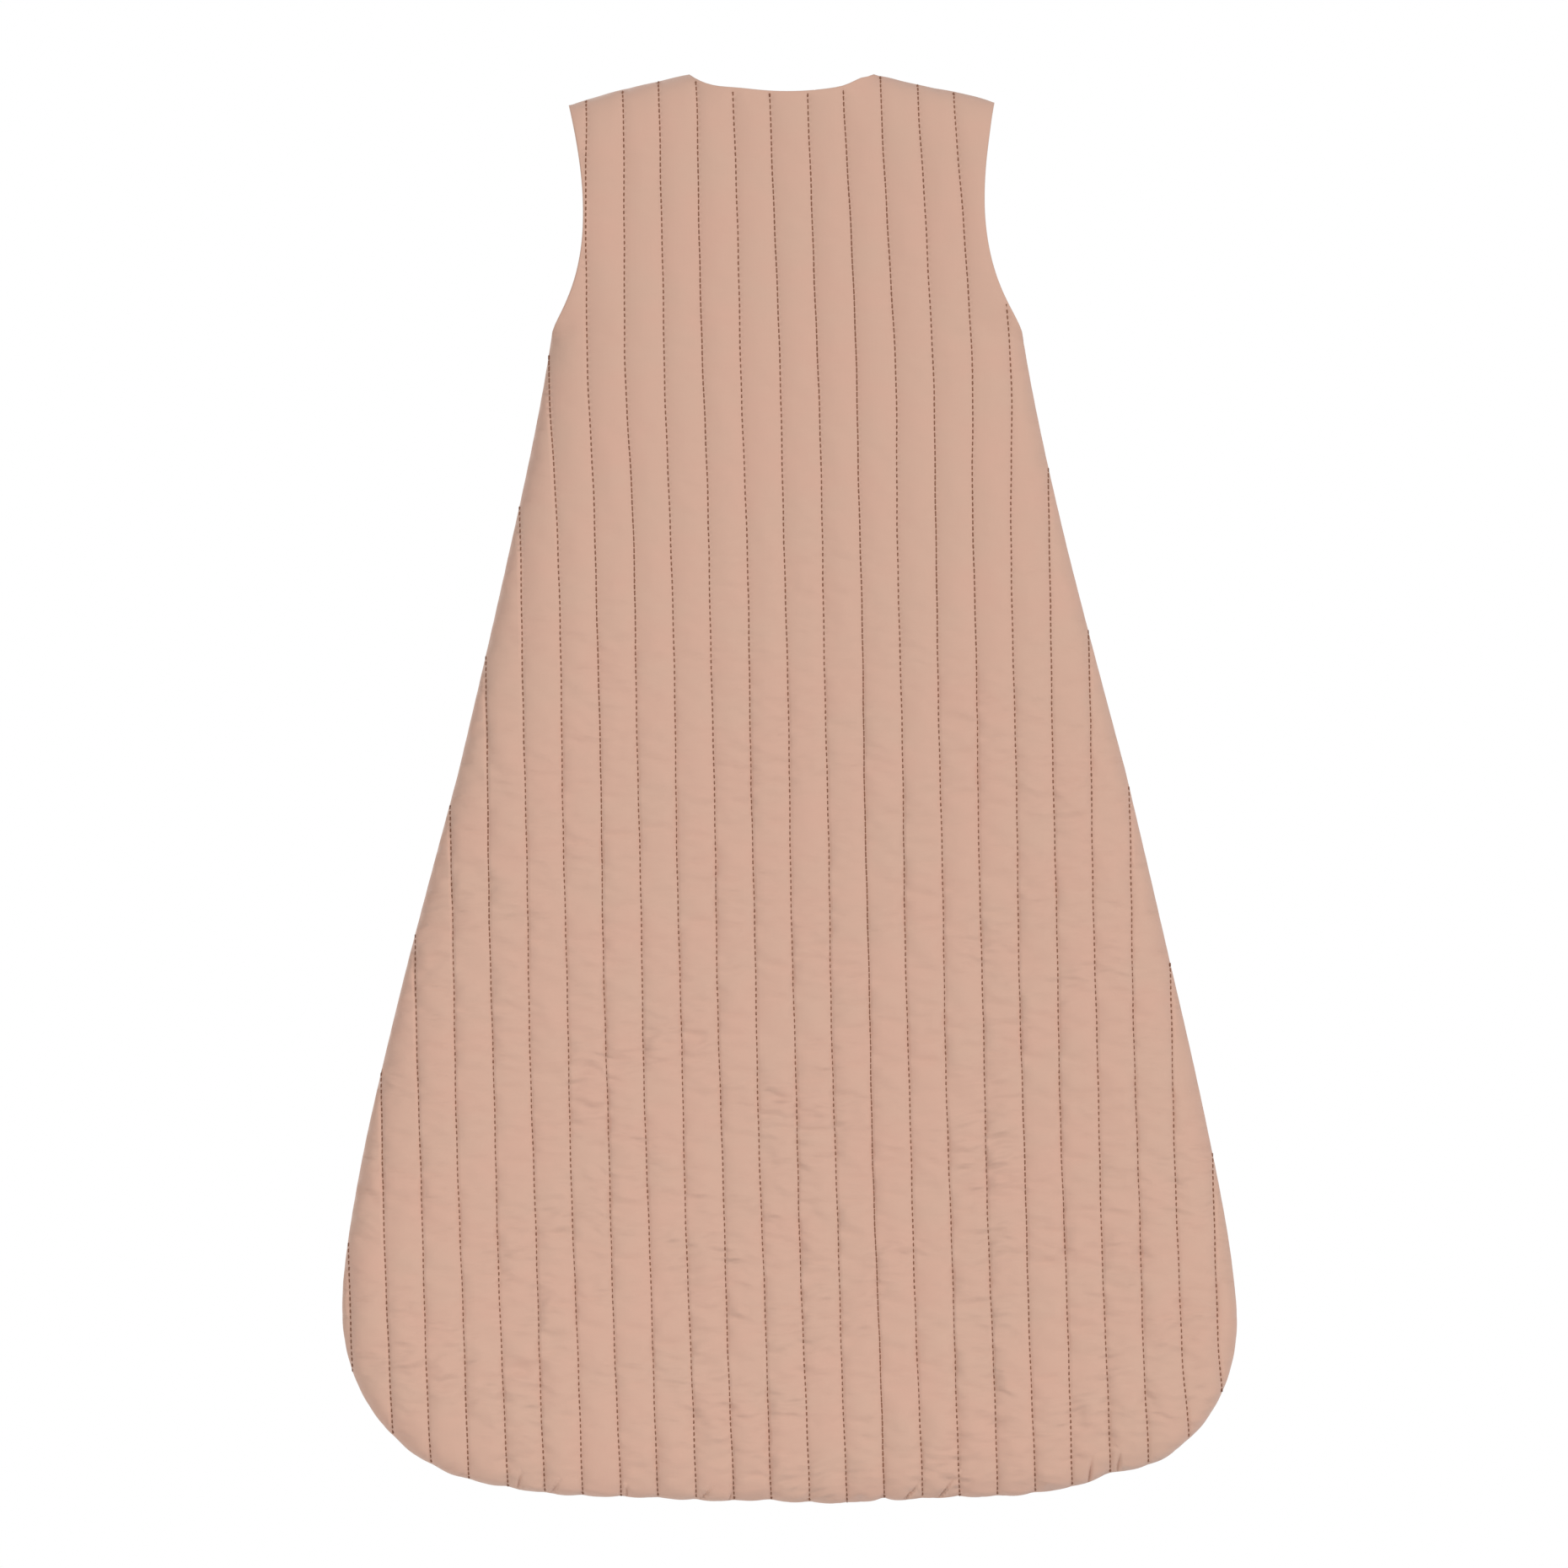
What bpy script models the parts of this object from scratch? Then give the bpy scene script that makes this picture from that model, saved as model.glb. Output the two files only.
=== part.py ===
"""A quilted, sleeveless baby sleeping bag with a centre-front zip, as an assembly of separate pieces.

The bag hangs upright in the X-Z plane. Its back faces -Y, its zipped front faces +Y and the wearer's
right is +X. The origin lies midway between the two points where shoulder and neckline meet.
"""

import math

import bmesh
import bpy
import numpy as np
from mathutils import Matrix, Vector
from mathutils.geometry import delaunay_2d_cdt, interpolate_bezier

# Outline of the bag, in metres
BAG_LENGTH = 0.900
NECK_WIDTH = 0.116
BACK_NECK_DROP = 0.0105
FRONT_NECK_DROP = 0.058
SHOULDER_WIDTH = 0.268
SHOULDER_DROP = 0.0205
UNDERARM_WIDTH = 0.297
UNDERARM_DROP = 0.167
ARMHOLE_HOLLOW = 0.024
WIDEST_WIDTH = 0.563
WIDEST_DROP = 0.782
HEM_STRAIGHT = 0.300
HEM_LIFT = 0.0055

# Depth of the bag and how far each closed seam reaches in before the bag lies flat, in metres
BAG_DEPTH = 0.046
SIDE_RUN = 0.070
SHOULDER_RUN = 0.036
EDGE_RUN = 0.025

# Layers of the quilted cloth, in metres
FABRIC = 0.0006
WADDING = 0.0065
WADDING_EDGE = 0.0008
LINING = 0.0006
GAP = 0.0003

# Zip, in metres
ZIP_LENGTH = 0.600
ZIP_REVEAL = 0.008
ZIP_SLIT = 0.002
TAPE_WIDTH = 0.015
TAPE_THICKNESS = 0.0008
TAPE_TAIL = 0.012
COIL_WIDTH = 0.0022
COIL_HEIGHT = 0.0020
STOP_LENGTH = 0.0030
CHIN_GUARD_LENGTH = 0.0090
CHIN_GUARD_WIDTH = 0.0130

# Slider and pull tab, in metres
SLIDER_LENGTH = 0.0110
SLIDER_PLATE = 0.0010
FLANGE = 0.0009
CROWN_SPAN = 0.0075
CROWN_WIDTH = 0.0016
CROWN_WALL = 0.0009
CROWN_OPENING = 0.0020
TAB_LENGTH = 0.027
TAB_WIDTH = 0.0080
TAB_NECK_WIDTH = 0.0056
TAB_THICKNESS = 0.0010
TAB_BAR = 0.0010
TAB_WINDOW = 0.0060

# Fold lines of the two front flaps: distance from the centre at the zip's foot and at the neckline
FOLD_FOOT_X = 0.0075
FOLD_TOP_X = 0.044
FOLD_CLEARANCE = 0.0005
FLAP_TIP = 0.0010

# Spacing of the points that carry the rounded surfaces, in metres
POINT_SPACING = 0.032

# Colours (linear red, green, blue), roughness and metallic value
CLOTH = ((0.631, 0.402, 0.309), 0.90, 0.0)
FILLING = ((0.860, 0.840, 0.800), 0.95, 0.0)
INNER_CLOTH = ((0.800, 0.690, 0.600), 0.90, 0.0)
TAPE = ((0.560, 0.350, 0.265), 0.85, 0.0)
NYLON = ((0.520, 0.320, 0.240), 0.45, 0.0)
METAL = ((0.560, 0.480, 0.380), 0.30, 1.0)

half_depth = BAG_DEPTH / 2
seam_half = FABRIC + WADDING_EDGE + LINING + 2.5 * GAP

# Depths of the zip's layers, measured along Y from the bag's middle plane
tape_front = half_depth - FABRIC - GAP
tape_back = tape_front - TAPE_THICKNESS
coil_back = tape_front + GAP
coil_front = coil_back + COIL_HEIGHT
fold_y = coil_front + GAP

# Distances of the zip's layers from the centre line
slit_half = ZIP_SLIT / 2
coil_outer = slit_half + COIL_WIDTH
tape_outer = slit_half + TAPE_WIDTH
wadding_inner = tape_outer + GAP

# Heights of the zip's ends
zip_top = -FRONT_NECK_DROP - GAP
stop_top = zip_top - CHIN_GUARD_LENGTH - GAP
chain_top = stop_top - STOP_LENGTH - GAP
chain_foot = chain_top - ZIP_LENGTH
slider_travel = ZIP_LENGTH - SLIDER_LENGTH - GAP
flap_foot = chain_foot + SLIDER_LENGTH + 4 * GAP
notch_foot = chain_foot - STOP_LENGTH - 2 * GAP
tape_foot = chain_foot - TAPE_TAIL


def bezier(knot, handle, far_handle, far_knot, steps):
    """Points along one cubic curve, from knot to far_knot."""
    ends = [Vector((*point, 0.0)) for point in (knot, handle, far_handle, far_knot)]
    return [(point.x, point.y) for point in interpolate_bezier(*ends, steps + 1)]


def line(start, end, steps):
    """Points along a straight line, both ends included."""
    return [tuple(point) for point in np.linspace(start, end, steps + 1)]


def chain(*runs):
    """Runs that meet end to end, as one list of points."""
    points = list(runs[0])
    for run in runs[1:]:
        points += run[1:]
    return points


# Corner points of the right half, as (x, z)
hem_centre = (0.0, -BAG_LENGTH)
hem_end = (HEM_STRAIGHT / 2, -BAG_LENGTH + HEM_LIFT)
widest = (WIDEST_WIDTH / 2, -WIDEST_DROP)
underarm = (UNDERARM_WIDTH / 2, -UNDERARM_DROP)
shoulder_tip = (SHOULDER_WIDTH / 2, -SHOULDER_DROP)
neck_point = (NECK_WIDTH / 2, 0.0)


def hem_and_side(steps):
    """The closed seam from the middle of the hem round the corner and up to the underarm."""
    corner_width = widest[0] - hem_end[0]
    corner_height = widest[1] - hem_end[1]
    side_height = underarm[1] - widest[1]
    side_lean = widest[0] - underarm[0]
    corner = bezier(
        hem_end,
        (hem_end[0] + 0.93 * corner_width, hem_end[1] + HEM_LIFT),
        (widest[0], widest[1] - 0.22 * corner_height),
        widest, steps)
    side = bezier(
        widest,
        (widest[0], widest[1] + 0.17 * side_height),
        (underarm[0] + 0.18 * side_lean, underarm[1] - 0.26 * side_height),
        underarm, steps)
    return chain(line(hem_centre, hem_end, max(2, steps // 3)), corner, side)


def armhole(steps):
    """The open edge from the underarm up to the tip of the shoulder."""
    height = shoulder_tip[1] - underarm[1]
    return bezier(
        underarm,
        (underarm[0], underarm[1] + 0.11 * height),
        (shoulder_tip[0] - ARMHOLE_HOLLOW, shoulder_tip[1] - 0.73 * height),
        shoulder_tip, steps)


def neckline(drop, steps):
    """The open edge from the neck point down to the middle of the neck."""
    return bezier(neck_point, (0.90 * neck_point[0], -0.60 * drop), (0.58 * neck_point[0], -drop), (0.0, -drop), steps)


shoulder = line(shoulder_tip, neck_point, 3)
closed_side = hem_and_side(48)


def distance_to(path, points):
    """Shortest distance from each point to a path, in the plane of the bag."""
    path = np.asarray(path)
    starts = path[:-1]
    spans = path[1:] - starts
    offsets = points[:, None, :] - starts[None]
    share = np.clip((offsets * spans).sum(2) / (spans ** 2).sum(1), 0.0, 1.0)
    return np.linalg.norm(offsets - share[..., None] * spans, axis=2).min(1)


def rounding(distance, run):
    """A quarter of an ellipse that rises from 0 at a seam to 1 where the cloth lies flat."""
    return np.sqrt(1.0 - (1.0 - np.clip(distance / run, 0.0, 1.0)) ** 2)


def folded(points):
    """The points with the left half folded over onto the right."""
    points = np.array(points, dtype=float)
    points[:, 0] = np.abs(points[:, 0])
    return points


def outer_height(points):
    """How far the outer face stands off the bag's middle plane."""
    points = folded(points)
    swell = np.minimum(
        rounding(distance_to(closed_side, points), SIDE_RUN),
        rounding(distance_to(shoulder, points), SHOULDER_RUN))
    return seam_half + (half_depth - seam_half) * swell


def wadding_depth(points, neck_drop, has_zip):
    """How thick the wadding is: thin along every edge and beside the zip tape."""
    points = folded(points)
    border = chain(closed_side, armhole(24), shoulder, neckline(neck_drop, 24))
    edge_share = np.clip(distance_to(border, points) / EDGE_RUN, 0.0, 1.0)
    depth = WADDING_EDGE + (WADDING - WADDING_EDGE) * edge_share
    if has_zip:
        beside = np.maximum(points[:, 0] - tape_outer, 0.0)
        below = np.maximum(tape_foot - points[:, 1], 0.0)
        tape_share = np.clip(np.hypot(beside, below) / EDGE_RUN, 0.0, 1.0)
        depth = np.minimum(depth, TAPE_THICKNESS + (WADDING - TAPE_THICKNESS) * tape_share)
    return depth


def inside(outline, points):
    """Which of the points lie inside a closed outline."""
    starts = np.asarray(outline)
    ends = np.roll(starts, -1, axis=0)
    x = points[:, None, 0]
    z = points[:, None, 1]
    spans = (starts[:, 1] > z) != (ends[:, 1] > z)
    rise = np.where(ends[:, 1] == starts[:, 1], 1.0, ends[:, 1] - starts[:, 1])
    crossing = starts[:, 0] + (z - starts[:, 1]) * (ends[:, 0] - starts[:, 0]) / rise
    return (spans & (x < crossing)).sum(1) % 2 == 1


def filling_points(outline):
    """A grid of points inside the outline, close where the cloth is rounded and wide where it is flat."""
    low = np.min(outline, axis=0)
    high = np.max(outline, axis=0)
    columns = np.arange(math.ceil(low[0] / POINT_SPACING), math.floor(high[0] / POINT_SPACING) + 1)
    rows = np.arange(math.ceil(low[1] / POINT_SPACING), math.floor(high[1] / POINT_SPACING) + 1)
    grid = np.array([(column, row) for column in columns for row in rows])
    points = grid * POINT_SPACING
    rounded = outer_height(points) < half_depth - GAP
    sparse = (grid % 3 == 0).all(1)
    closed = np.vstack((outline, outline[:1]))
    clear = distance_to(closed, points) > 0.45 * POINT_SPACING
    return points[inside(outline, points) & clear & (rounded | sparse)]


def triangulate(outline, inner_line=()):
    """Triangles that fill an outline and keep an inner line as edges."""
    border = len(outline)
    points = [Vector(point) for point in chain(outline)] + [Vector(point) for point in inner_line]
    edges = [(index, (index + 1) % border) for index in range(border)]
    edges += [(index, index + 1) for index in range(border, len(points) - 1)]
    points += [Vector(point) for point in filling_points(outline)]
    vertices, _, faces = delaunay_2d_cdt(points, edges, [], 1, 1e-7)[:3]
    vertices = np.array([tuple(vertex) for vertex in vertices])
    faces = np.array(faces)
    return vertices, faces[inside(outline, vertices[faces].mean(1))]


# Scene, materials and small helpers
for existing in list(bpy.data.objects):
    bpy.data.objects.remove(existing, do_unlink=True)

bag_collection = bpy.data.collections.new("baby_sleeping_bag")
cutter_collection = bpy.data.collections.new("cutters")
bpy.context.scene.collection.children.link(bag_collection)
bpy.context.scene.collection.children.link(cutter_collection)


def make_material(name, look):
    colour, roughness, metallic = look
    material = bpy.data.materials.new(name)
    material.use_nodes = True
    shader = material.node_tree.nodes["Principled BSDF"]
    shader.inputs["Base Color"].default_value = (*colour, 1.0)
    shader.inputs["Roughness"].default_value = roughness
    shader.inputs["Metallic"].default_value = metallic
    return material


def add_object(name, data, look, collection=bag_collection):
    """One named piece with a material of its own."""
    data.materials.append(make_material(name, look))
    piece = bpy.data.objects.new(name, data)
    collection.objects.link(piece)
    return piece


def box(name, low, high, look, collection=bag_collection):
    """A block between two corners."""
    low = Vector(low)
    high = Vector(high)
    shape = bmesh.new()
    size = Matrix.Diagonal((*(high - low), 1.0))
    bmesh.ops.create_cube(shape, size=1.0, matrix=Matrix.Translation((low + high) / 2) @ size)
    mesh = bpy.data.meshes.new(name)
    shape.to_mesh(mesh)
    shape.free()
    return add_object(name, mesh, look, collection)


def joint_empty(name, location, rotation=(0.0, 0.0, 0.0)):
    """An empty on a joint's axis, to carry the pieces that move with it."""
    empty = bpy.data.objects.new(name, None)
    empty.location = location
    empty.rotation_euler = rotation
    bag_collection.objects.link(empty)
    return empty


def flat_piece(name, loops, thickness, look):
    """A flat piece in the X-Z plane, from closed loops of straight lines; an inner loop is a hole."""
    curve = bpy.data.curves.new(name, "CURVE")
    curve.dimensions = "2D"
    curve.fill_mode = "BOTH"
    curve.extrude = thickness / 2
    for loop in loops:
        spline = curve.splines.new("POLY")
        spline.points.add(len(loop) - 1)
        for point, (x, z) in zip(spline.points, loop):
            point.co = (x, z, 0.0, 1.0)
        spline.use_cyclic_u = True
    piece = add_object(name, curve, look)
    piece.rotation_euler = (math.pi / 2, 0.0, 0.0)
    return piece


def carry(empty, pieces):
    """Parent pieces to an empty and leave them where they are."""
    bpy.context.view_layer.update()
    for piece in pieces:
        piece.parent = empty
        piece.matrix_parent_inverse = empty.matrix_world.inverted()


# Quilted panels
def layer(name, vertices, faces, near, far, look):
    """One closed layer of cloth between two faces that share the same triangles."""
    used = np.unique(faces)
    shape = bmesh.new()
    corners = {index: shape.verts.new((vertices[index, 0], near[index], vertices[index, 1])) for index in used}
    depths = {tuple(corners[index].co): far[index] for index in used}
    for face in faces:
        shape.faces.new([corners[index] for index in face])
    copy = bmesh.ops.extrude_face_region(shape, geom=shape.faces[:], use_keep_orig=True)
    for vertex in [item for item in copy["geom"] if isinstance(item, bmesh.types.BMVert)]:
        vertex.co.y = depths[tuple(vertex.co)]
    bmesh.ops.recalc_face_normals(shape, faces=shape.faces[:])
    mesh = bpy.data.meshes.new(name)
    shape.to_mesh(mesh)
    shape.free()
    mesh.shade_smooth()
    mesh.set_sharp_from_angle(angle=math.radians(50))
    return add_object(name, mesh, look)


def quilted_panel(name, outline, facing, neck_drop, tape_line=()):
    """Outer fabric, wadding and lining of one panel; facing is 1 for the front and -1 for the back."""
    vertices, faces = triangulate(outline, tape_line)
    has_zip = len(tape_line) > 0
    outer = outer_height(vertices)
    core = wadding_depth(vertices, neck_drop, has_zip)
    wadding_near = outer - FABRIC - GAP
    lining_near = wadding_near - core - GAP
    filled = faces
    if has_zip:
        middle = folded(vertices[faces].mean(1))
        filled = faces[(middle[:, 0] > wadding_inner) | (middle[:, 1] < tape_foot - GAP)]
    return [
        layer(name + "_outer", vertices, faces, facing * outer, facing * (outer - FABRIC), CLOTH),
        layer(name + "_wadding", vertices, filled, facing * wadding_near, facing * (wadding_near - core), FILLING),
        layer(name + "_lining", vertices, faces, facing * lining_near, facing * (lining_near - LINING), INNER_CLOTH),
    ]


def mirrored(points, side):
    """The points on the wearer's right (side 1) or left (side -1)."""
    return [(side * x, z) for x, z in points]


front_neck = neckline(FRONT_NECK_DROP, 24)


def on_front_neck(x):
    """The point of the front neckline at a distance from the centre line."""
    return (x, float(np.interp(x, *zip(*reversed(front_neck)))))


fold_top = on_front_neck(FOLD_TOP_X)
fold_foot = (FOLD_FOOT_X, flap_foot)
fold_slope = math.atan2(fold_top[0] - fold_foot[0], fold_top[1] - fold_foot[1])
tip_x = ZIP_REVEAL + FLAP_TIP
fold_steps = 5


def fold_at(x):
    """The point of the right fold line at a distance from the centre line."""
    return (x, fold_foot[1] + (x - fold_foot[0]) / math.tan(fold_slope))


def fold_line(clearance):
    """The right fold line from the flap's tip to the neckline, moved away from the zip by a clearance."""
    beside_tape = np.linspace(wadding_inner, FOLD_TOP_X + clearance, fold_steps + 1)
    places = [tip_x + clearance, *beside_tape]
    return [(x, fold_at(x - clearance)[1]) for x in places]


back_half = chain(hem_and_side(13), armhole(8), shoulder, neckline(BACK_NECK_DROP, 5))
back_outline = back_half + [(-x, z) for x, z in back_half[-2:0:-1]]
quilted_panel("back", back_outline, -1, BACK_NECK_DROP)


def front_outline():
    """The fixed part of the right front: all of it but the flap beside the zip."""
    seam = GAP / 2
    above_fold = [point for point in front_neck if point[0] > fold_top[0] + FOLD_CLEARANCE]
    hem = hem_and_side(13)
    edge = chain(hem, armhole(8), shoulder, above_fold[::4])
    fold = fold_line(FOLD_CLEARANCE)[::-1]
    notch = [
        (ZIP_REVEAL, fold_at(tip_x)[1] - FOLD_CLEARANCE),
        (ZIP_REVEAL, notch_foot),
        (seam, notch_foot),
    ]
    centre_seam = line((seam, tape_foot - GAP), (seam, hem[0][1]), 8)
    return edge[1:] + fold + notch + centre_seam


def flap_outline():
    """The right flap: the strip between the zip and the fold line."""
    below_fold = [point for point in front_neck if ZIP_REVEAL < point[0] < fold_top[0]]
    beside_tape = [point for point in below_fold if point[0] > wadding_inner]
    over_tape = [point for point in below_fold if point[0] < wadding_inner]
    return (
        [(ZIP_REVEAL, fold_at(tip_x)[1])] + fold_line(0.0)
        + beside_tape[1::3] + [on_front_neck(wadding_inner)] + over_tape[1:-1:3] + [on_front_neck(ZIP_REVEAL)])


flap_pieces = {1: [], -1: []}
side_names = {1: "right", -1: "left"}
foot_tape_line = [
    (wadding_inner, fold_at(wadding_inner - FOLD_CLEARANCE)[1]),
    (wadding_inner, tape_foot - GAP),
    (GAP / 2, tape_foot - GAP),
]
flap_tape_line = [fold_at(wadding_inner), on_front_neck(wadding_inner)]
for side, side_name in side_names.items():
    quilted_panel(
        "front_" + side_name, mirrored(front_outline(), side), 1, FRONT_NECK_DROP,
        mirrored(foot_tape_line, side))
    flap_pieces[side] += quilted_panel(
        "flap_" + side_name, mirrored(flap_outline(), side), 1, FRONT_NECK_DROP,
        mirrored(flap_tape_line, side))


# Zip tapes, coils and stops
def side_box(name, side, inner, outer, back, front, foot, top, look):
    """A block on one side of the zip, between two distances from the centre line."""
    ends = sorted((side * inner, side * outer))
    return box(name, (ends[0], back, foot), (ends[1], front, top), look)


def tape(name, side, outline):
    """One length of zip tape from the outline of its right-hand version."""
    piece = flat_piece(name, [mirrored(outline, side)], TAPE_THICKNESS, TAPE)
    piece.location.y = (tape_front + tape_back) / 2
    return piece


foot_top = flap_foot - FOLD_CLEARANCE
flap_tape_outline = [
    (slit_half, flap_foot),
    fold_foot,
    fold_at(tape_outer),
    (tape_outer, zip_top),
    (slit_half, zip_top),
]
foot_tape_outline = [
    (slit_half, tape_foot),
    (tape_outer, tape_foot),
    (tape_outer, fold_at(tape_outer - FOLD_CLEARANCE)[1]),
    (FOLD_FOOT_X + FOLD_CLEARANCE, flap_foot),
    (FOLD_FOOT_X + FOLD_CLEARANCE, foot_top),
    (slit_half, foot_top),
]
for side, side_name in side_names.items():
    flap_pieces[side] += [
        tape("zip_tape_" + side_name, side, flap_tape_outline),
        side_box("zip_coil_" + side_name, side, slit_half, coil_outer, coil_back, coil_front,
                 flap_foot, chain_top, NYLON),
        side_box("zip_top_stop_" + side_name, side, slit_half, coil_outer, coil_back, coil_front,
                 stop_top - STOP_LENGTH, stop_top, METAL),
    ]
    tape("zip_tape_foot_" + side_name, side, foot_tape_outline)
    side_box("zip_coil_foot_" + side_name, side, slit_half, coil_outer, coil_back, coil_front,
             chain_foot, foot_top, NYLON)

box("zip_bottom_stop", (-coil_outer, coil_back, chain_foot - GAP - STOP_LENGTH),
    (coil_outer, coil_front, chain_foot - GAP), METAL)
flap_pieces[-1].append(side_box(
    "zip_chin_guard", -1, slit_half, slit_half + CHIN_GUARD_WIDTH, half_depth + GAP, coil_front,
    zip_top - CHIN_GUARD_LENGTH, zip_top, CLOTH))

for side, side_name in side_names.items():
    hinge = joint_empty(
        "flap_" + side_name + "_hinge", (side * fold_foot[0], fold_y, fold_foot[1]), (0.0, side * fold_slope, 0.0))
    carry(hinge, flap_pieces[side])

# Slider
slider_half_width = coil_outer + GAP + FLANGE
slider_z = chain_top - SLIDER_LENGTH / 2
slider_front = coil_front + GAP + SLIDER_PLATE
slider_back = tape_back - GAP - SLIDER_PLATE
crown_front = slider_front + CROWN_OPENING + CROWN_WALL
post_half = slit_half - GAP
post_length = 3 * post_half


def slider_block(name, x_low, x_high, back, front, foot, top, collection=cutter_collection):
    """A block of the slider, with its height measured from the slider's middle."""
    return box(name, (x_low, back, slider_z + foot), (x_high, front, slider_z + top), METAL, collection)


slider = slider_block(
    "zip_slider", -slider_half_width, slider_half_width, coil_front + GAP, slider_front,
    -SLIDER_LENGTH / 2, SLIDER_LENGTH / 2, bag_collection)
slider_blocks = [
    slider_block("slider_back_plate", -slider_half_width, slider_half_width, slider_back, tape_back - GAP,
                 -SLIDER_LENGTH / 2, SLIDER_LENGTH / 2),
    slider_block("slider_post", -post_half, post_half, slider_back + SLIDER_PLATE / 2,
                 slider_front - SLIDER_PLATE / 2,
                 SLIDER_LENGTH / 2 - GAP - post_length, SLIDER_LENGTH / 2 - GAP),
    slider_block("crown_bridge", -CROWN_WIDTH / 2, CROWN_WIDTH / 2, crown_front - CROWN_WALL, crown_front,
                 -CROWN_SPAN / 2, CROWN_SPAN / 2),
]
for side, side_name in side_names.items():
    edges = sorted((side * (slider_half_width - FLANGE), side * slider_half_width))
    slider_blocks.append(slider_block(
        "slider_flange_" + side_name, edges[0], edges[1], tape_front + GAP, slider_front - SLIDER_PLATE / 2,
        -SLIDER_LENGTH / 2, SLIDER_LENGTH / 2))
    ends = sorted((side * (CROWN_SPAN / 2 - CROWN_WALL), side * CROWN_SPAN / 2))
    slider_blocks.append(slider_block(
        "crown_leg_" + side_name, -CROWN_WIDTH / 2, CROWN_WIDTH / 2, slider_front - SLIDER_PLATE / 2,
        crown_front - CROWN_WALL / 2, ends[0], ends[1]))
for block in slider_blocks:
    block.hide_render = True
    block.display_type = "WIRE"
    union = slider.modifiers.new(block.name, "BOOLEAN")
    union.operation = "UNION"
    union.object = block

slider_empty = joint_empty("zip_slider_path", (0.0, slider_front, slider_z))
carry(slider_empty, [slider])

# Pull tab
pivot_y = slider_front + CROWN_OPENING / 2
window_half = CROWN_WIDTH / 2 + 2 * GAP
window_foot = -TAB_BAR / 2 - TAB_WINDOW
round_steps = 8
tip_turns = [math.pi * (step / round_steps - 1.0) for step in range(round_steps + 1)]
tip_centre = TAB_BAR / 2 - TAB_LENGTH + TAB_WIDTH / 2
tip = [(TAB_WIDTH / 2 * math.cos(turn), tip_centre + TAB_WIDTH / 2 * math.sin(turn)) for turn in tip_turns]
tab_outline = [
    (TAB_NECK_WIDTH / 2, TAB_BAR / 2),
    (-TAB_NECK_WIDTH / 2, TAB_BAR / 2),
    (-TAB_NECK_WIDTH / 2, window_foot),
    *tip,
    (TAB_NECK_WIDTH / 2, window_foot),
]
tab_window = [
    (window_half, -TAB_BAR / 2),
    (-window_half, -TAB_BAR / 2),
    (-window_half, window_foot),
    (window_half, window_foot),
]
pull_tab = flat_piece("zip_pull_tab", [tab_outline, tab_window], TAB_THICKNESS, METAL)
pull_tab.location = (0.0, pivot_y, slider_z)
carry(slider_empty, [pull_tab])
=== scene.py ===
"""Quilted cloth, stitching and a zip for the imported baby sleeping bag.

Flat positions on a panel are pairs (x, z) in metres, and a depth is measured from the bag's middle plane
towards the panel's outside: -Y for the back and +Y for the front.
"""

import math

import bpy
import numpy as np
from bpy.props import FloatProperty, FloatVectorProperty, PointerProperty
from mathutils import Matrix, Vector, noise
from mathutils.geometry import delaunay_2d_cdt
from mathutils.kdtree import KDTree


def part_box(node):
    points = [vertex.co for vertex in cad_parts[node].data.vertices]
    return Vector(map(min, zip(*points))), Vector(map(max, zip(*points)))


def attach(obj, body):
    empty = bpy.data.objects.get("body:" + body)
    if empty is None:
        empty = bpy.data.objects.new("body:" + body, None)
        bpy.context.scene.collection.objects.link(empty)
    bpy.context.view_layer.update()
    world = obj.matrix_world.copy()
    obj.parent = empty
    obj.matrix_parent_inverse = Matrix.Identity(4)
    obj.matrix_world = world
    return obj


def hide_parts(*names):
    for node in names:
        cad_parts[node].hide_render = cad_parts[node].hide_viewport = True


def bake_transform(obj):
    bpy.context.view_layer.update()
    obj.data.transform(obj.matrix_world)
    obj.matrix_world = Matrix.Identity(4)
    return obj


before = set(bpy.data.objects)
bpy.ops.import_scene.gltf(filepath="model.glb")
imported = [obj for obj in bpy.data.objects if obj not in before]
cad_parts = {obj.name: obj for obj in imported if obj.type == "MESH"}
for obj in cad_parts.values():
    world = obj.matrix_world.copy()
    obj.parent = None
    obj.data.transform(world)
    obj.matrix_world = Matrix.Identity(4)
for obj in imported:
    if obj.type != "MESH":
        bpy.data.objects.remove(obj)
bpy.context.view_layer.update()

bl_info = {
    "name": "Baby sleeping bag",
    "version": (1, 0, 0),
    "blender": (4, 5, 0),
    "location": "View3D > Sidebar > Sleeping bag",
    "description": "Dresses the packed sleeping bag with quilted cloth, stitching and a zip",
    "category": "Add Mesh",
}

# Outline of the bag's right half, as in the part's source
NECK_POINT = (0.058, 0.0)
BACK_NECK_DROP = 0.0105
FRONT_NECK_DROP = 0.058
SHOULDER_TIP = (0.134, -0.0205)
ARMHOLE_HOLLOW = 0.024
UNDERARM = (0.1485, -0.167)
WIDEST = (0.2815, -0.782)
HEM_END = (0.150, -0.8945)
HEM_LIFT = 0.0055
HEM_MIDDLE = (0.0, -0.900)

# How the panels stand out and how their layers lie, as in the part's source
HALF_DEPTH = 0.023
SEAM_HALF = 0.00275
SIDE_RUN = 0.070
SHOULDER_RUN = 0.036
EDGE_RUN = 0.025
LAYERS = 0.0081
EDGE_LAYERS = 0.0022

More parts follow.
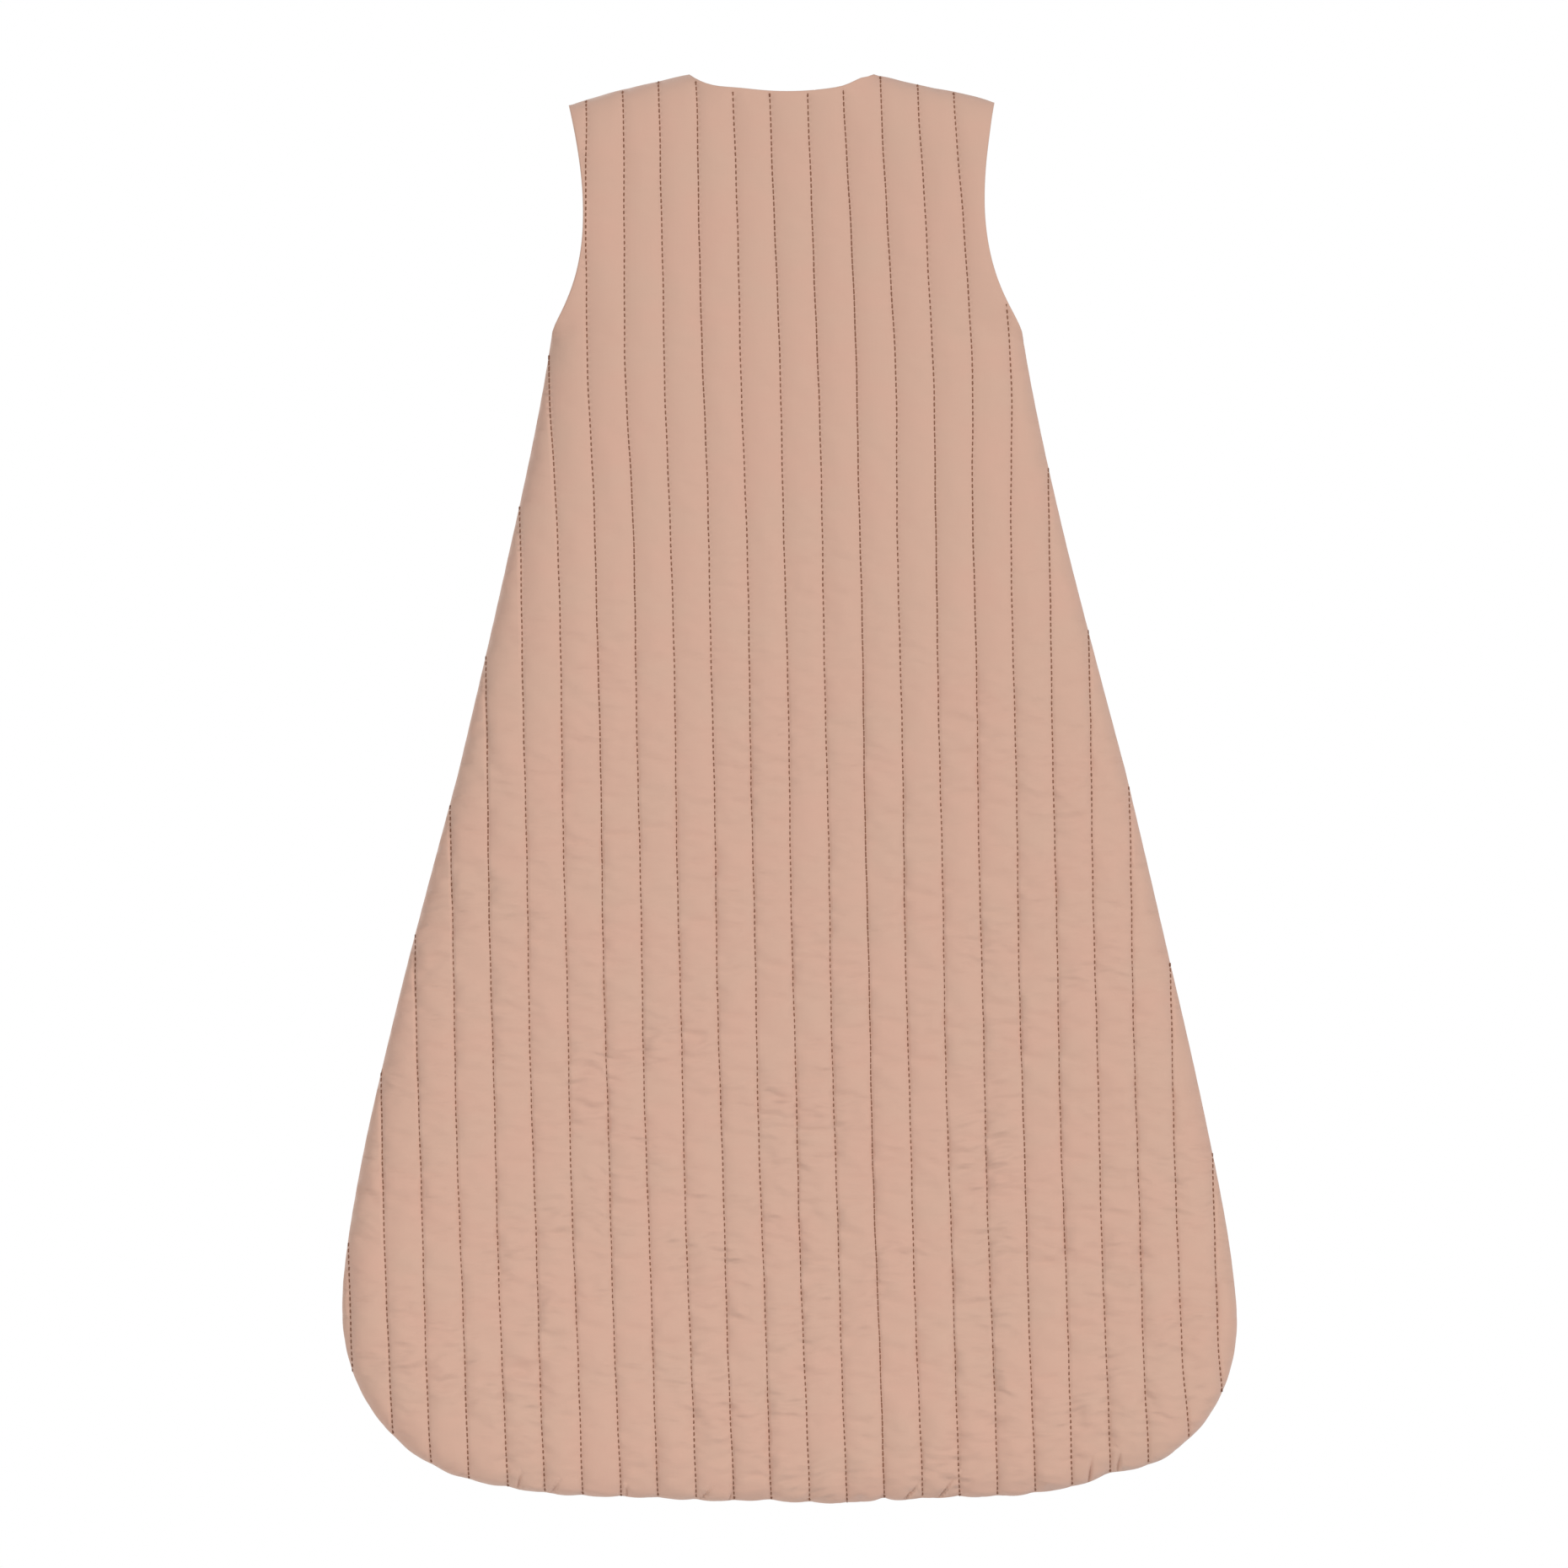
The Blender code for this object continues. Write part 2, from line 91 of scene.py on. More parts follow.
# Zip, read from the frame
TAPE_LOW, TAPE_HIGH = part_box("zip_tape_right")
FOOT_LOW, FOOT_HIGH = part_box("zip_tape_foot_right")
COIL_LOW, COIL_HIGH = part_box("zip_coil_right")
COIL_FOOT_LOW, COIL_FOOT_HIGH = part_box("zip_coil_foot_right")
SLIDER_LOW, SLIDER_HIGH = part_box("zip_slider")
TAB_LOW, TAB_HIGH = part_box("zip_pull_tab")
GUARD_LOW, GUARD_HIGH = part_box("zip_chin_guard")
ZIP_REVEAL = 0.008
TOPSTITCH = ZIP_REVEAL + 0.003
NOTCH_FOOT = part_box("zip_bottom_stop")[0].z - 0.0003
FLAP_FOOT = COIL_LOW.z
FOLD_FOOT_X = -0.0005
FOLD_TOP = (0.0465, -0.0365)
FOLD_WIDTH = 0.010

SEAM, OPEN, ZIP, CENTRE = range(4)

# Dents (up) and sags (down) of the shoulders and the hem as the bag hangs: place across, half width, height
SHOULDER_DENTS = (
    (-0.110, 0.026, 0.0014), (-0.047, 0.012, -0.0014), (0.0, 0.034, -0.0017), (0.047, 0.008, 0.0022),
    (0.054, 0.005, -0.0013), (0.118, 0.028, 0.0028))
HEM_DENTS = (
    (-0.175, 0.028, 0.0018), (-0.090, 0.022, 0.0006), (-0.012, 0.020, 0.0018), (0.034, 0.010, -0.0010),
    (0.060, 0.004, 0.0010), (0.100, 0.015, 0.0006), (0.168, 0.016, 0.0018), (0.203, 0.020, 0.0056))
HEM_SCALLOP = 0.0010

# Gathers of the cloth at the hem: place across, sideways lean and height
GATHERS = (
    (-0.1695, 0.2, 0.010), (-0.1482, 0.5, 0.008), (-0.1004, 0.0, 0.007), (-0.0552, 0.8, 0.009),
    (-0.0366, 0.2, 0.007), (0.0722, 1.0, 0.009), (0.0945, 0.8, 0.010), (0.1894, 0.1, 0.012), (0.2078, 0.1, 0.012))
GATHER_WIDTH = 0.0010
GATHER_DEPTH = 0.0024

# How deep the finest crinkles of the cloth are
CRINKLE_DEPTH = 0.006

# The line of the back whose stitches close up most into a solid dark line: tighter sewing, and painted shadow of its
# groove
TIGHT_SHADOWED_LINE = 2

# Where the columns of points stand between two stitched lines
FINE_COLUMNS = (0.0, 0.04, 0.12, 0.36, 0.64, 0.88, 0.96)
MIDDLING_COLUMNS = (0.0, 0.25, 0.5, 0.75)


# Settings
class QuiltSizes(bpy.types.PropertyGroup):
    """Sizes of the quilting."""

    pitch: FloatProperty(
        name="Channel pitch", description="Distance between two stitched lines", default=0.0237, unit="LENGTH")
    groove: FloatProperty(
        name="Groove depth", description="How far a stitched line lies below the channels", default=0.0015,
        unit="LENGTH")
    stitch_pitch: FloatProperty(
        name="Stitch pitch", description="Length of one stitch with its gap", default=0.0038, unit="LENGTH")
    thread: FloatProperty(
        name="Thread width", description="Width of the sewing thread", default=0.0012, unit="LENGTH")
    fabric: FloatProperty(
        name="Fabric thickness", description="Thickness of the shell and the lining", default=0.0005, unit="LENGTH")
    pressure: FloatProperty(
        name="Pressure", description="How hard the wadding pushes the shell out", default=80.0)
    fullness: FloatProperty(
        name="Fullness", description="Share by which the shell is longer than its stitched lines", default=0.05)


class ZipSizes(bpy.types.PropertyGroup):
    """Sizes of the zip's small parts."""

    tooth_pitch: FloatProperty(
        name="Tooth pitch", description="Distance between two turns of a coil", default=0.0014, unit="LENGTH")
    wire: FloatProperty(
        name="Coil wire", description="Thickness of the coil's nylon wire", default=0.00062, unit="LENGTH")
    edge: FloatProperty(
        name="Metal edge", description="Radius of the rounded metal edges", default=0.00025, unit="LENGTH")
    plate: FloatProperty(
        name="Slider plate", description="Thickness of the slider's two plates", default=0.0010, unit="LENGTH")
    flange: FloatProperty(
        name="Slider flange", description="Thickness of the slider's side walls", default=0.0009, unit="LENGTH")
    crown_span: FloatProperty(
        name="Crown span", description="Length of the loop that holds the pull tab", default=0.0075, unit="LENGTH")
    crown_width: FloatProperty(
        name="Crown width", description="Width of the loop that holds the pull tab", default=0.0016, unit="LENGTH")
    crown_wall: FloatProperty(
        name="Crown wall", description="Thickness of the loop that holds the pull tab", default=0.0009,
        unit="LENGTH")


class Colours(bpy.types.PropertyGroup):
    """Colours of the bag's finishes."""

    cloth: FloatVectorProperty(
        name="Cloth", description="Shell cloth", subtype="COLOR", default=(0.634, 0.398, 0.305))
    # The thread's reddish brown, darkened with the painted shade of its needle holes.
    thread: FloatVectorProperty(
        name="Thread", description="Sewing thread", subtype="COLOR", default=(0.235, 0.100, 0.055))
    lining: FloatVectorProperty(
        name="Lining", description="Inner cloth", subtype="COLOR", default=(0.740, 0.590, 0.490))
    wadding: FloatVectorProperty(
        name="Wadding", description="Fibre filling", subtype="COLOR", default=(0.80, 0.78, 0.74))
    tape: FloatVectorProperty(
        name="Zip tape", description="Woven tape", subtype="COLOR", default=(0.540, 0.330, 0.250))
    coil: FloatVectorProperty(
        name="Zip coil", description="Nylon coil", subtype="COLOR", default=(0.480, 0.285, 0.215))
    enamel: FloatVectorProperty(
        name="Enamel", description="Enamelled zip metal", subtype="COLOR", default=(0.47, 0.30, 0.225))


class StageSettings(bpy.types.PropertyGroup):
    """Light of the studio."""

    ambient: FloatProperty(name="Ambient", description="Strength of the light from all sides", default=0.46)
    key: FloatProperty(name="Key", description="Power of the main lamp", default=1325.0, unit="POWER")
    side: FloatProperty(name="Side", description="Power of the lamp on the other side", default=69.0, unit="POWER")
    fill: FloatProperty(name="Fill", description="Power of the lamp behind the bag", default=82.0, unit="POWER")


# Outlines
def bezier(start, first, second, end, count=64):
    """Points on a Bezier curve."""
    t = np.linspace(0.0, 1.0, count)[:, None]
    a, b, c, d = (np.array(point) for point in (start, first, second, end))
    return (1 - t) ** 3 * a + 3 * (1 - t) ** 2 * t * b + 3 * (1 - t) * t ** 2 * c + t ** 3 * d


def evenly(points, spacing):
    """The same line with points an even distance apart."""
    run = np.concatenate(([0.0], np.cumsum(np.hypot(*np.diff(points, axis=0).T))))
    places = np.linspace(0.0, run[-1], max(1, round(run[-1] / spacing)) + 1)
    return np.column_stack([np.interp(places, run, points[:, axis]) for axis in (0, 1)])


def smooth(values):
    """A soft step from 0 to 1."""
    t = np.clip(values, 0.0, 1.0)
    return t * t * (3 - 2 * t)


def rounding(distance, run, power=2.0):
    """Height of a quarter round, from 0 at the seam to 1 where the bag lies flat; a higher power is fuller."""
    return (1 - (1 - np.clip(distance / run, 0.0, 1.0)) ** power) ** (1 / power)


def neckline(drop):
    """The neckline from the right neck point to the middle."""
    x = NECK_POINT[0]
    return bezier(NECK_POINT, (0.90 * x, -0.60 * drop), (0.58 * x, -drop), (0.0, -drop))


def right_edges(neck):
    """The right half's edges from the middle of the hem to the end of a neckline, each with its kind."""
    hem_width = WIDEST[0] - HEM_END[0]
    hem_height = WIDEST[1] - HEM_END[1]
    lean = WIDEST[0] - UNDERARM[0]
    side_height = UNDERARM[1] - WIDEST[1]
    arm_height = SHOULDER_TIP[1] - UNDERARM[1]
    corner = bezier(
        HEM_END, (HEM_END[0] + 0.93 * hem_width, HEM_END[1] + HEM_LIFT),
        (WIDEST[0], WIDEST[1] - 0.22 * hem_height), WIDEST)
    side = bezier(
        WIDEST, (WIDEST[0], WIDEST[1] + 0.17 * side_height),
        (UNDERARM[0] + 0.18 * lean, UNDERARM[1] - 0.26 * side_height), UNDERARM)
    armhole = bezier(
        UNDERARM, (UNDERARM[0], UNDERARM[1] + 0.11 * arm_height),
        (SHOULDER_TIP[0] - ARMHOLE_HOLLOW, SHOULDER_TIP[1] - 0.73 * arm_height), SHOULDER_TIP)
    return [
        (np.array([HEM_MIDDLE, HEM_END]), SEAM),
        (corner, SEAM),
        (side, SEAM),
        (armhole, OPEN),
        (np.array([SHOULDER_TIP, NECK_POINT]), SEAM),
        (neck, OPEN),
    ]


def flipped(edges):
    """The same edges on the other side of the middle."""
    return [(points[::-1] * (-1.0, 1.0), kind) for points, kind in reversed(edges)]


def back_edges():
    """The edges of the back panel."""
    right = right_edges(neckline(BACK_NECK_DROP))
    return right + flipped(right)


def front_edges(zip_x, foot_z):
    """The edges of the right front, open beside the zip and sewn in the middle below it."""
    neck = neckline(FRONT_NECK_DROP)
    top = np.interp(zip_x, neck[::-1, 0], neck[::-1, 1])
    neck = np.vstack((neck[neck[:, 0] > zip_x], (zip_x, top)))
    seam_x = 0.0003
    return right_edges(neck) + [
        (np.array([(zip_x, top), (zip_x, foot_z)]), ZIP),
        (np.array([(zip_x, foot_z), (seam_x, foot_z)]), ZIP),
        (np.array([(seam_x, foot_z), (seam_x, HEM_MIDDLE[1])]), CENTRE),
    ]


def swayed(points):
    """Lean an outline a few millimetres to either side, as the bag hangs."""
    heights = (-0.90, -0.85, -0.76, -0.67, -0.56, -0.44, -0.30, -0.15, -0.09, -0.02, 0.0)
    leans = (3.0, 3.4, 0.8, 0.3, 1.0, 3.0, 0.8, -0.2, -2.1, -3.6, -3.6)
    lean = np.interp(points[:, 1], heights, leans) / 1000
    share = smooth((np.abs(points[:, 0]) - 0.02) / 0.04)
    return np.column_stack((points[:, 0] + lean * share, points[:, 1]))


def slumped(points):
    """Lift and drop an outline a few millimetres along the shoulders and the hem, with a scalloped hem."""
    x, z = points.T
    shoulders, hem = (
        sum(height * np.exp(-((x - place) / width) ** 2) for place, width, height in dents)
        for dents in (SHOULDER_DENTS, HEM_DENTS))
    scallop = np.abs(np.sin(math.pi * (x - 0.0133) / 0.0237)) - 0.6
    top = smooth((z + 0.045) / 0.02)
    foot = smooth((-0.84 - z) / 0.02)
    return np.column_stack((x, z + top * shoulders + foot * (hem - HEM_SCALLOP * scallop)))


# Stitched lines
def back_line(pitch, index, z):
    """Where a stitched line of the back runs; the lines lean, waver and fan out at the right foot corner."""
    share = (-0.022 - z) / 0.861
    middle = -0.0106 + 0.0239 * share + 0.0013 * np.sin(2 * math.pi * share)
    spread = 1 - 0.022 * np.exp(-((z + 0.022) / 0.05) ** 2) + 0.02 * np.exp(-((z + 0.19) / 0.06) ** 2)
    waver = 0.0003 * np.sin(2 * math.pi * (z / 0.23 + 0.37 * index))
    waver += 0.0001 * np.sin(2 * math.pi * (z / 0.047 + 0.61 * index))
    fan = 0.0036 * smooth((-0.80 - z) / 0.07) * smooth((index - 8.5) / 1.5)
    return middle + index * pitch * spread + waver + fan


def front_line(pitch, index, z):
    """Where a stitched line of the front runs."""
    return index * pitch + 0.0 * z


def fold_line(side):
    """The foot of a front's fold, the way up along it and the way across it towards the zip."""
    foot = np.array((FOLD_FOOT_X, FLAP_FOOT))
    up = np.array(FOLD_TOP) - foot
    up /= np.hypot(*up)
    across = np.array((-up[1], up[0]))
    return foot * (side, 1.0), up * (side, 1.0), across * (side, 1.0)


class Panel:
    """One flat cut: its outline, points on and between its stitched lines, and its triangles."""

    def __init__(self, edges, line, pitch, facing, columns, row, lower_row=None, fold_side=0):
        self.line = line
        self.pitch = pitch
        self.facing = facing
        self.row = row
        self.fold_side = fold_side
        lower_row = lower_row or row
        lain = [(slumped(swayed(evenly(points, 0.002))), kind) for points, kind in edges]
        outlines = [
            (evenly(points, lower_row if points[:, 1].min() < -0.85 else row), kind) for points, kind in lain]
        self.edge = np.vstack([points[:-1] for points, kind in outlines])
        self.kind = np.concatenate([np.full(len(points) - 1, kind) for points, kind in outlines])
        along = np.roll(self.edge, -1, axis=0) - np.roll(self.edge, 1, axis=0)
        along /= np.hypot(*along.T)[:, None]
        self.outward = np.column_stack((along[:, 1], -along[:, 0]))
        self.edge -= self.outward * np.where(self.kind == OPEN, EDGE_LAYERS / 2, 0.0)[:, None]
        fine = [(evenly(points, 0.0007), kind) for points, kind in lain]
        seams = [points for points, kind in fine if kind == SEAM]
        shoulder_drop = SHOULDER_TIP[1] - 0.001
        self.all_tree = self.tree([points for points, kind in fine])
        self.side_tree = self.tree([points for points in seams if points[:, 1].max() < shoulder_drop])
        self.shoulder_tree = self.tree([points for points in seams if points[:, 1].max() >= shoulder_drop])
        self.edge_tree = self.tree([self.edge])
        inner, sewn = self.filling(columns, lower_row)
        self.points = np.vstack((self.edge, inner))
        self.sewn = np.concatenate((np.zeros(len(self.edge), bool), sewn))
        self.faces = self.triangles()

    @staticmethod
    def tree(lines):
        """A search tree of points on lines."""
        points = np.vstack(lines)
        tree = KDTree(len(points))
        for index, (x, z) in enumerate(points):
            tree.insert((x, z, 0.0), index)
        tree.balance()
        return tree

    @staticmethod
    def nearest(tree, points):
        """The nearest place in a search tree to each point, and how far it is."""
        found = [tree.find((x, z, 0.0)) for x, z in points]
        return np.array([hit[1] for hit in found]), np.array([hit[2] for hit in found])

    def inside(self, points, clearance):
        """Which points lie inside the outline, at least a clearance from it."""
        x, z = points.T[:, :, None]
        start_x, start_z = self.edge.T
        end_x, end_z = np.roll(self.edge, -1, axis=0).T
        slope = (end_x - start_x) / np.where(end_z == start_z, 1.0, end_z - start_z)
        crossed = ((start_z > z) != (end_z > z)) & (x < start_x + slope * (z - start_z))
        distance = self.nearest(self.edge_tree, points)[1]
        return (crossed.sum(1) % 2 == 1) & (distance > clearance)

    def filling(self, columns, lower_row):
        """Points inside the outline, in columns that follow the stitched lines, and which of them are sewn."""
        reach = math.ceil(0.31 / self.pitch)
        rows = [-0.902]
        while rows[-1] < 0.002:
            rows.append(rows[-1] + lower_row + (self.row - lower_row) * smooth((rows[-1] + 0.45) / 0.25))
        rows = np.array(rows)
        points = []
        sewn = []
        between = rows + np.gradient(rows) / 2
        for channel in range(-reach, reach):
            for number, share in enumerate(columns):
                z = between if number % 2 else rows
                column = np.column_stack((self.line(self.pitch, channel + share, z), z))
                if share == 0.0:
                    ends = np.column_stack((self.line(self.pitch, channel, between), between))
                    column = np.vstack((column, ends[self.from_edge(ends) < 0.008]))
                    column = column[np.argsort(column[:, 1])]
                    column = column[self.inside(column, 0.4 * self.row)]
                else:
                    column = column[self.inside(column, 0.6 * self.row)]
                    column = column[self.gather(column) < 0.02]
                    if self.fold_side and 0.05 < share < 0.95:
                        column = column[~self.folding(column)]
                points.append(column)
                sewn.append(np.full(len(column), share == 0.0))
        points += [self.crease(*gather) for gather in GATHERS]
        if self.fold_side:
            points.append(self.bend())
        sewn += [np.zeros(len(column), bool) for column in points[len(sewn):]]
        return np.vstack(points), np.concatenate(sewn)

    def crease(self, place, lean, height):
        """Points close to one gather of the hem."""
        foot = self.edge[np.abs(self.edge - (place, -0.9)).sum(1).argmin(), 1]
        rise = np.arange(0.0015, 1.5 * height, 0.002)[:, None]
        x = place + lean * rise + GATHER_WIDTH * np.array((-2.4, -1.2, -0.5, 0.0, 0.5, 1.2, 2.4))
        points = np.column_stack((x.ravel(), (foot + rise + 0.0 * x).ravel()))
        return points[self.inside(points, 0.001)]

    def folding(self, points):
        """Which points lie in the strip along the front's fold line."""
        foot, up, across = fold_line(self.fold_side)
        offset = (points - foot) @ across
        return (offset > -0.002) & (offset < FOLD_WIDTH + 0.002) & ((points - foot) @ up > -0.004)

    def bend(self):
        """Close columns of points along the front's fold line and along its topstitching."""
        foot, up, across = fold_line(self.fold_side)
        rise = np.arange(0.0, -FLAP_FOOT, self.row)[:, None]
        columns = [
            foot + offset * across + (rise + number % 2 * self.row / 2) * up
            for number, offset in enumerate(np.arange(-0.001, FOLD_WIDTH + 0.0011, 0.0012))]
        heights = np.arange(NOTCH_FOOT - 0.003, 0.0, self.row)
        for place in (TOPSTITCH, TOPSTITCH + 0.0012):
            columns.append(np.column_stack((np.full(len(heights), self.fold_side * place), heights)))
        points = np.vstack(columns)
        return points[self.inside(points, 0.0012) & (self.from_line(points) > 0.0016)]

    def triangles(self):
        """Triangles between all the points."""
        border = list(range(len(self.edge)))
        points = [Vector(point) for point in self.points]
        sewn = np.flatnonzero(self.sewn)
        gaps = np.hypot(*np.diff(self.points[sewn], axis=0).T)
        seams = [(int(sewn[place]), int(sewn[place + 1])) for place in np.flatnonzero(gaps < 1.5 * self.row)]
        result = delaunay_2d_cdt(points, seams, [border], 1, 1e-7)
        origin = np.array([sources[0] for sources in result[3]])
        faces = origin[np.array(result[2])]
        return faces if self.facing < 0 else faces[:, ::-1]

    def outer(self, points):
        """How far the panel stands out from the bag's middle plane, without its grooves."""
        side = rounding(self.nearest(self.side_tree, points)[1], SIDE_RUN, 2.4)
        shoulder = rounding(self.nearest(self.shoulder_tree, points)[1], SHOULDER_RUN)
        return SEAM_HALF + (HALF_DEPTH - SEAM_HALF) * side * shoulder

    def from_line(self, points):
        """Distance to the nearest stitched line."""
        x, z = points.T
        spread = (self.line(self.pitch, 10.0, z) - self.line(self.pitch, -10.0, z)) / 20
        index = np.round((x - self.line(self.pitch, 0.0, z)) / spread)
        return np.minimum(np.abs(x - self.line(self.pitch, index, z)), self.pitch / 2)

    def puff(self, points):
        """0 on the stitched lines and 1 midway between them, evenly rounded."""
        return 1 - (1 - 2 * self.from_line(points) / self.pitch) ** 2

    def channel(self, points):
        """0 on the stitched lines and 1 midway between them, pinched along the lines."""
        pinch = 1 - np.exp(-(self.from_line(points) / 0.0009) ** 2)
        return 0.88 * pinch + 0.12 * self.puff(points)

    def from_edge(self, points):
        """Distance to the nearest edge."""
        return self.nearest(self.all_tree, points)[1]

    def gather(self, points):
        """0 on the smooth cloth and 1 in the gathers at the hem."""
        x, z = points.T
        rise = self.from_edge(points)
        creases = [
            np.exp(-((x - place - lean * rise) / GATHER_WIDTH) ** 2 - (rise / height) ** 2)
            for place, lean, height in GATHERS]
        return np.max(creases, axis=0) * smooth((-0.86 - z) / 0.01) * smooth(rise / 0.002)

    def shell_drop(self, points, groove):
        """How far the shell lies below the panel's outer height."""
        sewn = groove * (1 - self.channel(points)) * smooth(self.from_edge(points) / 0.004)
        return sewn + GATHER_DEPTH * self.gather(points)

    def lining_drop(self, points, groove):
        """How far the lining lies below the panel's outer height."""
        distance = self.from_edge(points)
        sewn = EDGE_LAYERS + (groove + 0.0015 - EDGE_LAYERS) * smooth(distance / 0.010)
        filled = (LAYERS - groove - 0.0015) * self.puff(points) * smooth(distance / EDGE_RUN)
        return sewn + filled + self.beside_tape(points)

    def beside_tape(self, points):
        """How much room the lining of a front leaves for the zip's tape."""
        reach = np.abs(points[:, 0])
        room = smooth((reach - ZIP_REVEAL) / 0.003) * smooth((0.020 - reach) / 0.003)
        return abs(self.fold_side) * 0.0014 * room

    def looseness(self):
        """How full the cloth lies at each point, from 0 to 1: patchy, and more towards the gathered hem."""
        patches = np.array([noise.noise((30 * x, 0.0, 24 * z + 7 * self.facing)) for x, z in self.points])
        lower = smooth((-self.points[:, 1] - 0.22) / 0.35)
        hem = 0.5 * np.exp(-((self.points[:, 1] + 0.9) / 0.015) ** 2)
        return np.clip(0.12 + 0.55 * lower + hem + (0.2 + 0.7 * lower) * patches, 0.0, 1.0)

    def place(self, points, depths):
        """Points in the row frame from flat positions and depths."""
        return np.column_stack((points[:, 0], self.facing * depths, points[:, 1]))


# Meshes
def add_piece(name, vertices, faces, finish):
    """A named mesh with smooth faces and one finish."""
    mesh = bpy.data.meshes.new(name)
    mesh.from_pydata(vertices.tolist(), [], [list(map(int, face)) for face in faces])
    mesh.shade_smooth()
    mesh.materials.append(finish)
    piece = bpy.data.objects.new(name, mesh)
    bpy.context.scene.collection.objects.link(piece)
    return piece


def strip_faces(first, second, closed=True):
    """Quads between two rows of vertices of the same length."""
    count = len(first) if closed else len(first) - 1
    following = (np.arange(count) + 1) % len(first)
    return np.column_stack((first[:count], first[following], second[following], second[:count]))


def turned_edge(panel, depths):
    """Rows of vertices that turn the shell's edge in, each as flat positions and depths."""
    edge_depth = depths[:len(panel.edge)]
    roll = EDGE_LAYERS / 2
    turns = np.radians((45, 90, 135, 180))
    profiles = {
        OPEN: [(roll * math.sin(turn), roll * (1 - math.cos(turn))) for turn in turns],
        SEAM: [(0.0, 0.3), (-0.0001, 0.6), (-0.0004, 0.85), (-0.0012, 0.97)],
        ZIP: [(0.4 * roll * math.sin(turn), 0.34 * roll * (1 - math.cos(turn))) for turn in turns],
        CENTRE: [(0.0002, 0.0006), (0.0002, 0.0014), (0.0, 0.0024), (-0.0006, 0.0034)],
    }
    rows = []
    for step in range(len(turns)):
        moves = np.array([profiles[kind][step] for kind in panel.kind])
        drop = np.where(panel.kind == SEAM, moves[:, 1] * edge_depth, moves[:, 1])
        rows.append((panel.edge + panel.outward * moves[:, :1], edge_depth - drop))
    return rows


def swell(piece, facing, pinned, loose, free, sizes, cap):
    """Let the wadding push the shell out between the points that are sewn down, and keep the result."""
    start = np.array([vertex.co for vertex in piece.data.vertices])
    sewn_group = piece.vertex_groups.new(name="sewn")
    sewn_group.add(np.flatnonzero(pinned).tolist(), 1.0, "REPLACE")
    taut_group = piece.vertex_groups.new(name="taut")
    taut = np.round(1 - loose, 2)
    for level in np.unique(taut):
        taut_group.add(np.flatnonzero(taut == level).tolist(), float(level), "REPLACE")
    cloth = piece.modifiers.new("swell", "CLOTH")
    cloth.collision_settings.use_collision = False
    settings = cloth.settings
    settings.quality = 5
    settings.mass = 0.001
    settings.air_damping = 5.0
    settings.tension_stiffness = 15.0
    settings.compression_stiffness = 15.0
    settings.shear_stiffness = 7.0
    settings.bending_stiffness = 10.0
    settings.vertex_group_mass = "sewn"
    settings.vertex_group_shrink = "taut"
    settings.shrink_min = -sizes.fullness
    settings.shrink_max = 0.0
    settings.use_pressure = True
    settings.uniform_pressure_force = sizes.pressure
    settings.effector_weights.gravity = 0.0
    scene = bpy.context.scene
    for step in range(1, 13):
        scene.frame_set(step)
    moved = piece.evaluated_get(bpy.context.evaluated_depsgraph_get()).data
    end = np.empty(len(start) * 3)
    moved.vertices.foreach_get("co", end)
    shift = end.reshape(-1, 3) - start
    length = np.linalg.norm(shift, axis=1, keepdims=True)
    shift *= np.minimum(1.0, cap / np.maximum(length, 1e-9)) * free[:, None]
    sunk = np.minimum(0.0, facing * shift[:, 1] + 0.0004)
    shift[:, 1] -= facing * sunk
    piece.modifiers.remove(cloth)
    piece.vertex_groups.clear()
    scene.frame_set(1)
    piece.data.vertices.foreach_set("co", (start + shift).ravel())
    piece.data.update()


def shell(name, panel, sizes, finish):
    """The outer cloth of a panel: puffed channels between sewn lines, with its edges turned in."""
    depths = panel.outer(panel.points) - panel.shell_drop(panel.points, sizes.groove)
    flat = add_piece(name + "_flat", panel.place(panel.points, depths), panel.faces, finish)
    pinned = panel.sewn.copy()
    pinned[:len(panel.edge)] = True
    free = 1 - np.exp(-(panel.from_line(panel.points) / 0.0012) ** 2)
    free *= 1 - panel.gather(panel.points)
    swell(flat, panel.facing, pinned, panel.looseness(), free, sizes, 0.004)
    places = np.array([vertex.co for vertex in flat.data.vertices])
    bpy.data.objects.remove(flat)
    count = len(panel.edge)
    vertices = [places]
    faces = [face for face in panel.faces]
    row = np.arange(count)
    for number, (flat_row, depth_row) in enumerate(turned_edge(panel, depths)):
        following = len(panel.points) + number * count + np.arange(count)
        vertices.append(panel.place(flat_row, depth_row))
        faces += list(strip_faces(following, row) if panel.facing < 0 else strip_faces(row, following))
        row = following
    piece = add_piece(name, np.vstack(vertices), faces, finish)
    thickness = piece.modifiers.new("fabric", "SOLIDIFY")
    thickness.thickness = sizes.fabric
    thickness.offset = -1.0
    return piece


def lining(name, panel, sizes, finish):
    """The inner cloth of a panel, caught a little way inside its seams."""
    points = panel.points.copy()
    depths = panel.outer(points) - panel.lining_drop(points, sizes.groove)
    points[:len(panel.edge)] -= panel.outward * np.where(panel.kind == SEAM, 0.0015, 0.0)[:, None]
    piece = add_piece(name, panel.place(points, depths), panel.faces, finish)
    thickness = piece.modifiers.new("fabric", "SOLIDIFY")
    thickness.thickness = sizes.fabric
    thickness.offset = -1.0
    return piece


def closed_layer(points, faces, near, far, border):
    """Vertices and faces of a closed layer between two sets of places that share their triangles."""
    count = len(points)
    sides = strip_faces(border, border + count)
    vertices = np.vstack((near, far))
    return vertices, [*faces, *(np.asarray(faces)[:, ::-1] + count), *sides[:, ::-1]]


